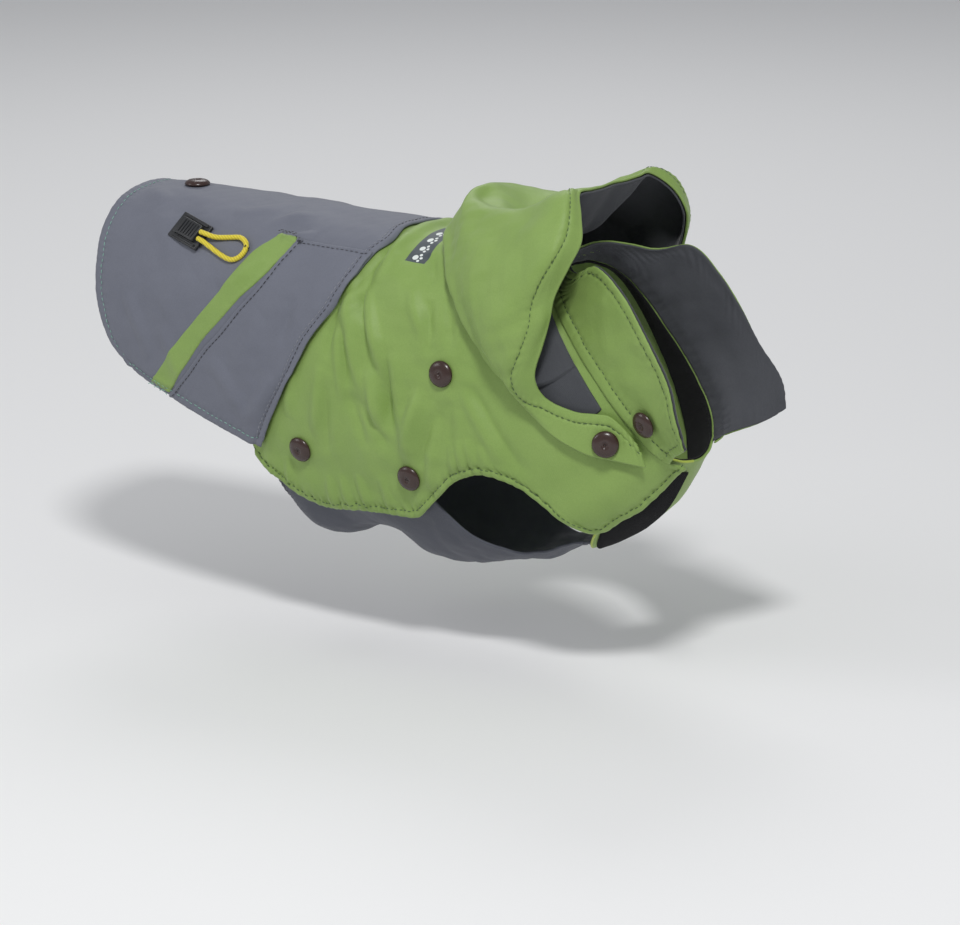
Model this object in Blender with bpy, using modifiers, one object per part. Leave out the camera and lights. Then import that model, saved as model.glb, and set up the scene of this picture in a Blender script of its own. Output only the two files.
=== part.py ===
# A small dog's coat, worn: a grey saddle lapped over a green body, a grey belly panel held by snaps,
# a standing collar, a hood let down, a bound pocket and a cord lock with an elastic loop.
# Metres, +Z up, +X to the front, +Y to the wearer's left. The nape of the neckline is near the origin.

import math
from collections import namedtuple

import bmesh
import bpy
from mathutils import Matrix, Vector

# Driving dimensions
CLOTH = 0.0014
TRIM_CLOTH = 0.0011
SEAM_GAP = 0.0003
LAYER = CLOTH + SEAM_GAP
TRIM_LAYER = TRIM_CLOTH + SEAM_GAP
SADDLE_OUT = LAYER + 0.0002
SADDLE_FACE = SADDLE_OUT + CLOTH
SNAP_DIAMETER = 0.015
SNAP_HEIGHT = 0.0032
SNAP_SIDES = 14
SEAT_SAMPLES = 12
TAB_SEAT_EASE = 0.0004
COLLAR_SEAT_EASE = 0.0010
LOCK_LENGTH = 0.0255
LOCK_WIDTH = 0.0170
LOCK_PLATE = 0.0020
LOCK_PAD = 0.0030
LOCK_PAD_START = -0.0070
LOCK_PAD_END = 0.0088
CORD_DIAMETER = 0.0030
FLAP_LIFT = 0.0052
UNDER_GAP = 0.0007
ORIGIN_SHIFT = Vector((0.090, 0.0, -0.0077))

# Sections of the wearer's trunk and neck. "back" is the distance behind the nape along the back.
# Each section is a tilted ring, from its top point to its low point, with its half width.
Ring = namedtuple("Ring", "back top_x top_z low_x low_z half_width")
RINGS = (
    Ring(-0.052, 0.040, 0.034, 0.120, -0.066, 0.043),
    Ring(-0.025, 0.018, 0.014, 0.100, -0.083, 0.044),
    Ring(0.000, 0.000, 0.000, 0.080, -0.099, 0.046),
    Ring(0.010, -0.010, 0.003, 0.060, -0.130, 0.055),
    Ring(0.028, -0.028, 0.006, 0.022, -0.155, 0.062),
    Ring(0.060, -0.060, 0.008, -0.034, -0.168, 0.066),
    Ring(0.105, -0.105, 0.0075, -0.092, -0.167, 0.066),
    Ring(0.155, -0.155, 0.008, -0.146, -0.163, 0.064),
    Ring(0.208, -0.208, 0.009, -0.200, -0.158, 0.061),
    Ring(0.262, -0.262, 0.010, -0.252, -0.152, 0.056),
    Ring(0.304, -0.304, 0.009, -0.286, -0.140, 0.049),
)
SQUARENESS = 0.07
FORWARD_BELT = 0.04

# The green body's lower edge on one side: chest opening, armhole, then the hem
Edge = namedtuple("Edge", "back deg")
BODY_LOWER_EDGE = (
    Edge(0.0000, 165.0),
    Edge(0.0040, 160.5),
    Edge(0.0080, 156.5),
    Edge(0.0130, 153.5),
    Edge(0.0190, 153.0),
    Edge(0.0215, 146.0),
    Edge(0.0245, 138.0),
    Edge(0.0280, 130.0),
    Edge(0.0325, 123.0),
    Edge(0.0395, 118.0),
    Edge(0.0460, 115.8),
    Edge(0.0530, 116.8),
    Edge(0.0605, 120.0),
    Edge(0.0680, 125.5),
    Edge(0.0760, 131.7),
    Edge(0.0820, 136.3),
    Edge(0.0870, 137.8),
    Edge(0.1010, 139.0),
    Edge(0.1190, 140.5),
    Edge(0.1450, 144.5),
    Edge(0.1580, 142.5),
    Edge(0.1710, 137.5),
    Edge(0.1840, 134.0),
    Edge(0.1890, 129.0),
)
CHEST_CORNER_BACK = 0.0192
CHEST_DIP = 0.012
FLAP_END_DEG = 214.0
BODY_ROWS = 30
BODY_COLUMNS = 38
FLAP_COLUMNS = 7
# The saddle's front edge, from the centre of the back to its lower corner
SADDLE_FRONT_EDGE = (
    Edge(0.1052, 0.0),
    Edge(0.1050, 12.0),
    Edge(0.1048, 22.0),
    Edge(0.1085, 33.5),
    Edge(0.1149, 47.0),
    Edge(0.1215, 54.5),
    Edge(0.1300, 63.0),
    Edge(0.1390, 70.5),
    Edge(0.1475, 79.0),
    Edge(0.1560, 87.5),
    Edge(0.1667, 97.2),
    Edge(0.1770, 108.0),
    Edge(0.1885, 122.5),
)
# The saddle's side hem, from its lower corner to the hip
SADDLE_SIDE_HEM = (
    Edge(0.1885, 122.5),
    Edge(0.2260, 116.5),
    Edge(0.2560, 111.5),
    Edge(0.2900, 107.0),
)
# The saddle's rear hem: how far back it reaches at a share of the way from the centre to the side
Reach = namedtuple("Reach", "share back")
SADDLE_REAR_HEM = (
    Reach(0.00, 0.2980),
    Reach(0.30, 0.3020),
    Reach(0.55, 0.3060),
    Reach(0.75, 0.3080),
    Reach(0.88, 0.3050),
    Reach(0.95, 0.2980),
    Reach(1.00, 0.2860),
)
# The pocket's mouth, where its green welt is sewn on, and the welt's free rear edge
POCKET_MOUTH = (
    Edge(0.1598, 31.8),
    Edge(0.1635, 39.5),
    Edge(0.1755, 54.0),
    Edge(0.1900, 65.0),
    Edge(0.2030, 75.3),
    Edge(0.2175, 85.6),
    Edge(0.2310, 97.0),
    Edge(0.2485, 111.5),
)
WELT_REAR_EDGE = (
    Edge(0.1740, 29.4),
    Edge(0.1795, 35.7),
    Edge(0.1855, 42.1),
    Edge(0.1905, 49.2),
    Edge(0.1995, 59.1),
    Edge(0.2115, 69.8),
    Edge(0.2355, 88.2),
    Edge(0.2635, 109.8),
)

# The collar: its seam's angle, and where its top edge stands
CollarRib = namedtuple("CollarRib", "seam_deg top_back top_deg top_out")
COLLAR_RIBS = (
    CollarRib(-153.0, -0.028, -143.0, 0.0225),
    CollarRib(-140.0, -0.036, -133.0, 0.0190),
    CollarRib(-124.0, -0.044, -119.0, 0.0130),
    CollarRib(-102.0, -0.047, -96.0, 0.0090),
    CollarRib(-78.0, -0.047, -74.0, 0.0070),
    CollarRib(-56.0, -0.040, -53.0, 0.0065),
    CollarRib(-44.0, -0.022, -42.0, 0.0045),
    CollarRib(0.0, -0.014, 0.0, 0.0030),
    CollarRib(44.0, -0.022, 42.0, 0.0045),
    CollarRib(62.0, -0.040, 58.0, 0.0080),
    CollarRib(84.0, -0.043, 78.0, 0.0090),
    CollarRib(108.0, -0.042, 98.0, 0.0100),
    CollarRib(130.0, -0.036, 115.0, 0.0170),
    CollarRib(146.0, -0.030, 128.0, 0.0290),
    CollarRib(157.0, -0.024, 137.0, 0.0330),
)

# The hood, let down: ribs from the centre of the back to the end of its snapped tab.
# The fold lies on the body, the crown and the hem line stand over it, and the rim faces the neck.
HoodRib = namedtuple(
    "HoodRib",
    "tuck fold_back fold_deg fold_out crown_back crown_out hem_back hem_out rim_back rim_deg rim_out",
)
HOOD_RIBS = (
    HoodRib(0.018, 0.0670, 0.0, 0.0100, 0.0540, 0.0290, -0.0050, 0.0170, -0.0490, 0.0, 0.0210),
    HoodRib(0.018, 0.0665, 14.0, 0.0100, 0.0510, 0.0275, -0.0180, 0.0190, -0.0500, 14.0, 0.0220),
    HoodRib(0.018, 0.0620, 26.0, 0.0095, 0.0300, 0.0310, -0.0460, 0.0355, -0.0510, 26.0, 0.0285),
    HoodRib(0.016, 0.0540, 37.0, 0.0090, 0.0160, 0.0350, -0.0440, 0.0370, -0.0490, 43.0, 0.0225),
    HoodRib(0.014, 0.0450, 48.0, 0.0090, 0.0130, 0.0330, -0.0290, 0.0375, -0.0340, 54.0, 0.0250),
    HoodRib(0.012, 0.0370, 61.0, 0.0090, 0.0170, 0.0270, 0.0040, 0.0295, -0.0110, 64.0, 0.0255),
    HoodRib(0.009, 0.0300, 71.0, 0.0085, 0.0210, 0.0200, 0.0145, 0.0210, 0.0080, 76.0, 0.0180),
    HoodRib(0.006, 0.0240, 84.0, 0.0075, 0.0195, 0.0140, 0.0165, 0.0145, 0.0130, 85.0, 0.0125),
    HoodRib(0.004, 0.0195, 95.0, 0.0068, 0.0175, 0.0095, 0.0155, 0.0092, 0.0128, 92.0, 0.0085),
    HoodRib(0.002, 0.0150, 105.5, 0.0060, 0.0150, 0.0070, 0.0120, 0.0070, 0.0098, 97.5, 0.0070),
    HoodRib(0.000, 0.0105, 115.5, 0.0055, 0.0100, 0.0060, 0.0080, 0.0060, 0.0060, 106.0, 0.0060),
    HoodRib(0.000, 0.0070, 125.5, 0.0050, 0.0060, 0.0055, 0.0050, 0.0055, 0.0022, 114.5, 0.0055),
    HoodRib(0.000, 0.0046, 134.5, 0.0050, 0.0040, 0.0055, 0.0030, 0.0055, 0.0010, 124.0, 0.0055),
    HoodRib(0.000, 0.0030, 142.0, 0.0050, 0.0030, 0.0055, 0.0020, 0.0055, 0.0010, 133.0, 0.0055),
)
TAB_START_RIB = 7.0
TAB_FULL_RIB = 9.5
TAB_OUT = 0.0062
HOOD_ROWS = 12
HOOD_COLUMNS = 40
# The turned-under edge is left out of the tabs: its first rows, and its first columns from each end
TUCK_ROWS = 3
TAB_COLUMNS = 9
# The lining lies just inside the hood's upper rows, then over the turned-under edge to the neck seam
LINING_TOP_ROWS = 7
LINING_COLUMNS = 4
LINING_DEPTH = CLOTH + TRIM_CLOTH + 0.0006
LINING_SEAM_BACK = 0.0030
HOOD_TUCK_OUT = 0.0042

# The belly panel, from its rear edge to the tongue's front end between the forelegs
BellyRow = namedtuple("BellyRow", "back half_deg sag")
BELLY_ROWS = (
    BellyRow(0.1830, 48.0, 0.0020),
    BellyRow(0.1760, 60.0, 0.0120),
    BellyRow(0.1660, 67.0, 0.0165),
    BellyRow(0.1520, 69.0, 0.0135),
    BellyRow(0.1400, 69.0, 0.0060),
    BellyRow(0.1290, 69.0, 0.0030),
    BellyRow(0.1160, 69.0, 0.0035),
    BellyRow(0.1050, 69.0, 0.0090),
    BellyRow(0.0940, 68.0, 0.0135),
    BellyRow(0.0840, 65.0, 0.0125),
    BellyRow(0.0740, 50.0, 0.0100),
    BellyRow(0.0640, 34.0, 0.0080),
    BellyRow(0.0530, 22.0, 0.0060),
    BellyRow(0.0430, 16.0, 0.0035),
    BellyRow(0.0360, 14.0, 0.0000),
    BellyRow(0.0270, 13.0, 0.0000),
)

# The largest folds: a ridge (or, below zero, a trough) between two points of the cloth
Fold = namedtuple("Fold", "back_a deg_a back_b deg_b width height")
FOLDS = (
    Fold(0.0950, -30.0, 0.0950, 30.0, 0.0050, 0.0036),
    Fold(0.070, -64.0, 0.100, -24.0, 0.0095, 0.0022),
    Fold(0.074, -86.0, 0.110, -60.0, 0.0085, 0.0020),
    Fold(0.070, -88.0, 0.081, -116.0, 0.0080, 0.0020),
    Fold(0.052, -92.0, 0.056, -114.0, 0.0080, 0.0018),
    Fold(0.128, -70.0, 0.138, -118.0, 0.0095, 0.0017),
    Fold(0.100, -84.0, 0.108, -130.0, 0.0085, 0.0017),
    Fold(0.070, 62.0, 0.102, 26.0, 0.0095, 0.0020),
    Fold(0.074, 92.0, 0.106, 62.0, 0.0085, 0.0020),
    Fold(0.068, 90.0, 0.080, 116.0, 0.0080, 0.0018),
    Fold(0.126, 76.0, 0.140, 120.0, 0.0095, 0.0017),
    Fold(0.100, 88.0, 0.110, 128.0, 0.0085, 0.0017),
    Fold(0.180, -8.0, 0.152, -28.0, 0.0090, 0.0016),
    Fold(0.200, 6.0, 0.164, 26.0, 0.0090, 0.0014),
    Fold(0.262, -66.0, 0.226, -98.0, 0.0120, 0.0014),
    Fold(0.258, 64.0, 0.222, 96.0, 0.0120, 0.0014),
)
FOLD_FADE_START = 0.0045
FOLD_FADE_LENGTH = 0.010

# Snaps: where each is set, and how far out its cloth stands
SnapSeat = namedtuple("SnapSeat", "name back deg out")
SNAPS = (
    SnapSeat("snap_back", 0.2640, 0.0, SADDLE_FACE),
    SnapSeat("snap_side", 0.0560, -79.5, CLOTH),
    SnapSeat("snap_belly_rear_right", 0.1530, -120.0, CLOTH),
    SnapSeat("snap_belly_front_right", 0.0825, -120.3, CLOTH),
    SnapSeat("snap_belly_rear_left", 0.1530, 120.0, CLOTH),
    SnapSeat("snap_belly_front_left", 0.0825, 120.3, CLOTH),
)

# Snaps on the hood's tabs and on the collar, as shares of their surfaces
TAB_SNAP_SHARE = 0.077
TAB_SNAP_HEIGHT = 0.50
COLLAR_SNAP_RIGHT = 0.115
COLLAR_SNAP_LEFT = 0.860
COLLAR_SNAP_HEIGHT = 0.27

# The cord lock's centre on the form, and how its length runs
LOCK_BACK = 0.2345
LOCK_DEG = -39.0
LOCK_RUN_BACK = -0.0120
LOCK_RUN_DEG = -2.65

# The elastic loop on the saddle, out of the lock's pad, over its plate and round to the pad again
LoopPoint = namedtuple("LoopPoint", "back deg rise")
LOOP_ROUTE = (
    LoopPoint(0.2246, -39.4, 0.0026),
    LoopPoint(0.2205, -39.8, 0.0024),
    LoopPoint(0.2140, -39.9, 0.0008),
    LoopPoint(0.2050, -38.3, 0.0000),
    LoopPoint(0.1975, -37.3, 0.0000),
    LoopPoint(0.1920, -39.6, 0.0000),
    LoopPoint(0.1908, -43.0, 0.0000),
    LoopPoint(0.1930, -46.6, 0.0000),
    LoopPoint(0.1972, -48.6, 0.0000),
    LoopPoint(0.2020, -48.6, 0.0000),
    LoopPoint(0.2090, -47.0, 0.0000),
    LoopPoint(0.2150, -45.2, 0.0008),
    LoopPoint(0.2205, -43.6, 0.0024),
    LoopPoint(0.2246, -42.8, 0.0026),
)
LOOP_POINTS = 38

GREEN = (0.262, 0.392, 0.122)
GREY = (0.165, 0.175, 0.215)
LINING_GREY = (0.070, 0.073, 0.082)
BLACK = (0.012, 0.012, 0.013)
SNAP_BROWN = (0.042, 0.022, 0.020)
YELLOW = (0.800, 0.690, 0.070)
PLASTIC_BLACK = (0.025, 0.026, 0.028)


def hermite(table, x):
    # Smooth value of a table of (x, values...) rows at x, on a line beyond its ends
    last = len(table) - 1
    index = 0
    while index < last - 1 and x > table[index + 1][0]:
        index += 1
    x0, x1 = table[index][0], table[index + 1][0]
    span = x1 - x0
    f = (x - x0) / span
    below = table[max(index - 1, 0)]
    above = table[min(index + 2, last)]
    values = []
    for k in range(1, len(table[0])):
        a, b = table[index][k], table[index + 1][k]
        slope_a = (b - below[k]) / (x1 - below[0]) * span
        slope_b = (above[k] - a) / (above[0] - x0) * span
        if f < 0.0:
            values.append(a + slope_a * f)
        elif f > 1.0:
            values.append(b + slope_b * (f - 1.0))
        else:
            values.append(
                a * (2 * f**3 - 3 * f**2 + 1)
                + slope_a * (f**3 - 2 * f**2 + f)
                + b * (3 * f**2 - 2 * f**3)
                + slope_b * (f**3 - f**2)
            )
    return values


def straight(table, x, key=0, value=1):
    # Straight interpolation of one column of a table by another, held at its ends
    if x <= table[0][key]:
        return table[0][value]
    for a, b in zip(table, table[1:]):
        if x <= b[key]:
            f = (x - a[key]) / (b[key] - a[key])
            return a[value] + (b[value] - a[value]) * f
    return table[-1][value]


def smoothstep(x):
    x = min(max(x, 0.0), 1.0)
    return x * x * (3.0 - 2.0 * x)


def bare_form(back, deg):
    # A point of the wearer's trunk, before any fold
    top_x, top_z, low_x, low_z, half_width = hermite(RINGS, back)
    t = math.radians(deg)
    along = (1.0 - math.cos(t)) / 2.0 - FORWARD_BELT * math.sin(t) ** 2
    across = half_width * (math.sin(t) + SQUARENESS * math.sin(3.0 * t))
    return Vector((top_x + (low_x - top_x) * along, across, top_z + (low_z - top_z) * along))


def form_normal(back, deg):
    step_back, step_deg = 0.001, 0.5
    forward = bare_form(back - step_back, deg) - bare_form(back + step_back, deg)
    around = bare_form(back, deg + step_deg) - bare_form(back, deg - step_deg)
    return forward.cross(around).normalized()


def fold_height(back, deg):
    # Sum of the ridges and troughs, in metres measured on the form
    height = 0.0
    metres_per_deg = 0.00115
    deg = (deg + 180.0) % 360.0 - 180.0
    for fold in FOLDS:
        ax, ay = fold.back_a, fold.deg_a * metres_per_deg
        bx, by = fold.back_b, fold.deg_b * metres_per_deg
        px, py = back - ax, deg * metres_per_deg - ay
        dx, dy = bx - ax, by - ay
        length = math.hypot(dx, dy)
        along = (px * dx + py * dy) / length
        aside = (px * dy - py * dx) / length
        share = along / length
        if -0.3 < share < 1.3:
            taper = math.sin(math.pi * min(max(share, 0.0), 1.0)) ** 0.7
            height += fold.height * taper * math.exp(-((aside / fold.width) ** 2))
    return height


def form_point(back, deg, out=0.0):
    # A point over the form, moved out along its normal; folds fade with the distance out
    fade = 1.0 - smoothstep((out - FOLD_FADE_START) / FOLD_FADE_LENGTH)
    lift = out + fold_height(back, deg) * fade
    return bare_form(back, deg) + form_normal(back, deg) * lift


def build_collection(name):
    collection = bpy.data.collections.new(name)
    bpy.context.scene.collection.children.link(collection)
    return collection


def finish(name, colour, roughness, metallic=0.0):
    material = bpy.data.materials.new(name)
    material.use_nodes = True
    shader = material.node_tree.nodes["Principled BSDF"]
    shader.inputs["Base Color"].default_value = (*colour, 1.0)
    shader.inputs["Roughness"].default_value = roughness
    shader.inputs["Metallic"].default_value = metallic
    material.diffuse_color = (*colour, 1.0)
    return material


def add_object(name, mesh, material):
    piece = bpy.data.objects.new(name, mesh)
    mesh.materials.append(material)
    coat.objects.link(piece)
    return piece


def add_wall(name, material, cells, outer, inner):
    # A closed wall of cloth from a sheet's cells, its outer points and its inner points
    order = sorted(outer)
    index = {key: i for i, key in enumerate(order)}
    count = len(order)
    points = [outer[key] + ORIGIN_SHIFT for key in order] + [inner[key] + ORIGIN_SHIFT for key in order]
    faces = []
    edges = set()
    for cell in cells:
        # Both sides are split along one diagonal, so that a twisted cell stays as thick as the cloth
        ring = [index[key] for key in cell]
        for triangle in ((ring[0], ring[1], ring[2]), (ring[0], ring[2], ring[3])):
            faces.append(triangle)
            faces.append([i + count for i in reversed(triangle)])
        for a, b in zip(ring, ring[1:] + ring[:1]):
            edges.add((a, b))
    for a, b in sorted(edges):
        if (b, a) not in edges:
            faces.append([b, a, a + count, b + count])
    mesh = bpy.data.meshes.new(name)
    mesh.from_pydata([p[:] for p in points], [], faces)
    shell = bmesh.new()
    shell.from_mesh(mesh)
    bmesh.ops.recalc_face_normals(shell, faces=shell.faces)
    shell.to_mesh(mesh)
    shell.free()
    mesh.shade_smooth()
    mesh.set_sharp_from_angle(angle=math.radians(50.0))
    return add_object(name, mesh, material)


def grid_cells(rows, columns):
    return [
        ((r, c), (r, c + 1), (r + 1, c + 1), (r + 1, c))
        for r in range(rows)
        for c in range(columns)
    ]


def add_panel(name, material, rows, columns, place, low, thick):
    # A panel on the form: place(v, u) gives back, deg and the extra lift of each grid point
    outer, inner = {}, {}
    for r in range(rows + 1):
        for c in range(columns + 1):
            back, deg, lift = place(r / rows, c / columns)
            inner[r, c] = form_point(back, deg, low + lift)
            outer[r, c] = form_point(back, deg, low + lift + thick)
    return add_wall(name, material, grid_cells(rows, columns), outer, inner)


def flap_lift(deg):
    # The right chest flap rises to lie over the left one and its strips
    return FLAP_LIFT * smoothstep((-124.0 - deg) / 21.0)


def body_rear(share):
    # The body ends a little under the saddle, and at its own corner below the saddle
    edge_deg = 129.0 * share
    under_saddle = straight(SADDLE_FRONT_EDGE, edge_deg, 1, 0) + 0.009
    corner = 0.1890
    return under_saddle + (corner - under_saddle) * smoothstep((share - 0.80) / 0.13)


def body_place(v, u):
    share = 2.0 * u - 1.0
    back = body_rear(abs(share)) * v**1.30
    edge = straight(BODY_LOWER_EDGE, back)
    deg = share * edge
    return back, deg, flap_lift(deg)


def body_grid():
    # The body's grid in back, deg and lift; the left flap goes on under the right one,
    # with a pointed lower edge at the middle of the chest
    places = {}
    flap_rows = 0
    for r in range(BODY_ROWS + 1):
        for c in range(BODY_COLUMNS + 1):
            places[r, c] = body_place(r / BODY_ROWS, c / BODY_COLUMNS)
        if places[r, BODY_COLUMNS][0] <= CHEST_CORNER_BACK:
            flap_rows = r
    for r in range(flap_rows + 1):
        back, start, _ = places[r, BODY_COLUMNS]
        for e in range(1, FLAP_COLUMNS + 1):
            deg = start + (FLAP_END_DEG - start) * e / FLAP_COLUMNS
            arch = math.sin(math.pi * min((deg - start) / (360.0 - 2.0 * start), 1.0))
            dip = CHEST_DIP * (r / flap_rows) ** 2 * arch
            places[r, BODY_COLUMNS + e] = (back + dip, deg, 0.0)
    return places, flap_rows


def add_layer(name, material, keys, low, thick):
    # A layer made from the body's own grid points, moved in or out; keys are its cells' first corners
    outer, inner = {}, {}
    cells = []
    for r, c in keys:
        cell = ((r, c), (r, c + 1), (r + 1, c + 1), (r + 1, c))
        cells.append(cell)
        for key in cell:
            back, deg, lift = body_places[key]
            inner[key] = form_point(back, deg, lift + low)
            outer[key] = form_point(back, deg, lift + low + thick)
    return add_wall(name, material, cells, outer, inner)


def build_body():
    last = BODY_COLUMNS + FLAP_COLUMNS
    keys = [
        (r, c)
        for r in range(BODY_ROWS)
        for c in range(last if r < chest_rows else BODY_COLUMNS)
    ]
    add_layer("body", green_cloth, keys, 0.0, CLOTH)
    neck_rows = 3
    neck = [(r, c) for r in range(neck_rows) for c in range(2, last - 1)]
    add_layer("neck_lining", black_lining, neck, -TRIM_LAYER, TRIM_CLOTH)
    strip_rows = range(1, chest_rows)
    loop = [(r, c) for r in strip_rows for c in range(BODY_COLUMNS + 3, last)]
    add_layer("closure_loop", black_strip, loop, LAYER, TRIM_CLOTH)
    hook = [(r, 0) for r in strip_rows]
    add_layer("closure_hook", black_strip, hook, -TRIM_LAYER, TRIM_CLOTH)


def saddle_place(v, u):
    share = 2.0 * u - 1.0
    side = abs(share)
    front = straight(SADDLE_FRONT_EDGE, 122.5 * side, 1, 0)
    rear = straight(SADDLE_REAR_HEM, side)
    back = front + (rear - front) * v
    hem = straight(SADDLE_SIDE_HEM, back)
    if back < SADDLE_SIDE_HEM[0].back:
        hem = SADDLE_SIDE_HEM[0].deg
    return back, share * hem, 0.0


def pocket_place(v, u):
    # From the mouth to the saddle's front edge, and from the top seam to the hem
    top, low = POCKET_MOUTH[0].deg, POCKET_MOUTH[-1].deg
    deg = top + (low - top) * v
    mouth = straight(POCKET_MOUTH, deg, 1, 0) - SEAM_GAP
    front = straight(SADDLE_FRONT_EDGE, deg, 1, 0)
    back = mouth + (front - mouth) * u
    hem = straight(SADDLE_SIDE_HEM, max(back, SADDLE_SIDE_HEM[0].back))
    return back, -(top + (hem - top) * v), 0.0


def welt_place(v, u):
    mouth_deg = POCKET_MOUTH[0].deg + (POCKET_MOUTH[-1].deg - POCKET_MOUTH[0].deg) * v
    rear_deg = WELT_REAR_EDGE[0].deg + (WELT_REAR_EDGE[-1].deg - WELT_REAR_EDGE[0].deg) * v
    mouth = straight(POCKET_MOUTH, mouth_deg, 1, 0)
    rear = straight(WELT_REAR_EDGE, rear_deg, 1, 0)
    return mouth + (rear - mouth) * u, -(mouth_deg + (rear_deg - mouth_deg) * u), 0.0


def belly_place(v, u):
    last = len(BELLY_ROWS) - 1
    numbered = [(i / last, *row) for i, row in enumerate(BELLY_ROWS)]
    back, half, sag = hermite(numbered, v)
    share = 2.0 * u - 1.0
    deg = 180.0 + half * share
    open_half = min(180.0 - straight(BODY_LOWER_EDGE, back) - 4.0, 42.0)
    hang = math.cos(math.pi / 2.0 * min(abs(deg - 180.0) / open_half, 1.0)) ** 1.5
    return back, deg, max(sag, 0.0) * hang


def build_belly_panel():
    # It lies inside the body's folds, so its own surface is the bare form's
    rows, columns = 26, 12
    low = -(CLOTH + UNDER_GAP)
    outer, inner = {}, {}
    for r in range(rows + 1):
        for c in range(columns + 1):
            back, deg, sag = belly_place(r / rows, c / columns)
            normal = form_normal(back, deg)
            inner[r, c] = bare_form(back, deg) + normal * (low + sag)
            outer[r, c] = bare_form(back, deg) + normal * (low + sag + CLOTH)
    add_wall("belly_panel", grey_cloth, grid_cells(rows, columns), outer, inner)


def collar_surface(v, u):
    # The collar between its two cloths: v climbs from the seam to the top edge
    last = len(COLLAR_RIBS) - 1
    numbered = [(i / last, *rib) for i, rib in enumerate(COLLAR_RIBS)]
    seam_deg, top_back, top_deg, top_out = hermite(numbered, u)
    seam_back = -0.0006
    back = seam_back + (top_back - seam_back) * v
    deg = seam_deg + (top_deg - seam_deg) * v
    stand = 0.0012 + flap_lift(seam_deg) * (1.0 - v)
    return form_point(back, deg, stand + top_out * v**1.4)


def over_body(back, deg, out):
    return form_point(back, deg, out + flap_lift(deg))


def hood_guides(u):
    # The hood's guide points at a place round the neck: u is 0 at the right tab, 1 at the left one
    side = 2.0 * u - 1.0
    last = len(HOOD_RIBS) - 1
    numbered = [(float(i), *rib) for i, rib in enumerate(HOOD_RIBS)]
    mirrored = [(-n[0], *n[1:3], -n[3], *n[4:10], -n[10], n[11]) for n in reversed(numbered[1:])]
    values = hermite(mirrored + numbered, side * last)
    return HoodRib(*values)


def through(points, x):
    # A smooth curve through evenly numbered points
    table = [(i / (len(points) - 1), *p) for i, p in enumerate(points)]
    return Vector(hermite(table, x))


def tab_share(u):
    # 0 where the hood stands, 1 where it has flattened into a tab that lies on the body
    rib = abs(2.0 * u - 1.0) * (len(HOOD_RIBS) - 1)
    return smoothstep((rib - TAB_START_RIB) / (TAB_FULL_RIB - TAB_START_RIB))


def hood_surface(v, u):
    # The green outer face: v goes from the tuck, round the fold and over the crown to the rim
    g = hood_guides(u)
    crown_deg = g.fold_deg + (g.rim_deg - g.fold_deg) * 0.45
    hem_deg = g.fold_deg + (g.rim_deg - g.fold_deg) * 0.85
    rise = (g.fold_back + g.crown_back) / 2.0 + g.tuck * 0.12
    guides = [
        over_body(g.fold_back - g.tuck, g.fold_deg, min(HOOD_TUCK_OUT, g.fold_out)),
        over_body(g.fold_back, g.fold_deg, g.fold_out * 0.62),
        over_body(rise, (g.fold_deg + crown_deg) / 2.0, (g.fold_out + g.crown_out) / 2.0 + g.tuck * 0.16),
        over_body(g.crown_back, crown_deg, g.crown_out),
        over_body(g.hem_back, hem_deg, g.hem_out),
        over_body(g.rim_back, g.rim_deg, g.rim_out),
    ]
    flat = tab_share(u)
    edge = TUCK_ROWS / HOOD_ROWS
    for k, guide in enumerate(guides):
        share = (k / (len(guides) - 1) - edge) / (1.0 - edge)
        back = g.fold_back + (g.rim_back - g.fold_back) * share
        deg = g.fold_deg + (g.rim_deg - g.fold_deg) * share
        guides[k] = guide.lerp(over_body(back, deg, TAB_OUT), flat)
    return through(guides, v)


def surface_normal(surface, v, u):
    step = 0.004
    along_v = surface(min(v + step, 1.0), u) - surface(max(v - step, 0.0), u)
    along_u = surface(v, min(u + step, 1.0)) - surface(v, max(u - step, 0.0))
    return along_v.cross(along_u).normalized()


def add_surface_wall(name, material, size, surface, cells, near, far):
    # A wall between two offsets from a free surface, whose grid has "size" rows and columns
    outer, inner = {}, {}
    for r, c in {key for cell in cells for key in cell}:
        v, u = r / size[0], c / size[1]
        normal = surface_normal(surface, v, u)
        outer[r, c] = surface(v, u) + normal * far
        inner[r, c] = surface(v, u) + normal * near
    return add_wall(name, material, cells, outer, inner)


def build_collar():
    size = (4, 30)
    cells = grid_cells(*size)
    add_surface_wall("collar", green_cloth, size, collar_surface, cells, SEAM_GAP / 2, TRIM_LAYER)
    add_surface_wall("collar_lining", lining_cloth, size, collar_surface, cells, -TRIM_LAYER, -SEAM_GAP / 2)


def build_hood():
    size = (HOOD_ROWS, HOOD_COLUMNS)
    cells = [
        cell
        for cell in grid_cells(*size)
        if cell[0][0] >= TUCK_ROWS or TAB_COLUMNS <= cell[0][1] < HOOD_COLUMNS - TAB_COLUMNS
    ]
    add_surface_wall("hood", green_cloth, size, hood_surface, cells, -CLOTH, 0.0)
    build_hood_lining()


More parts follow.
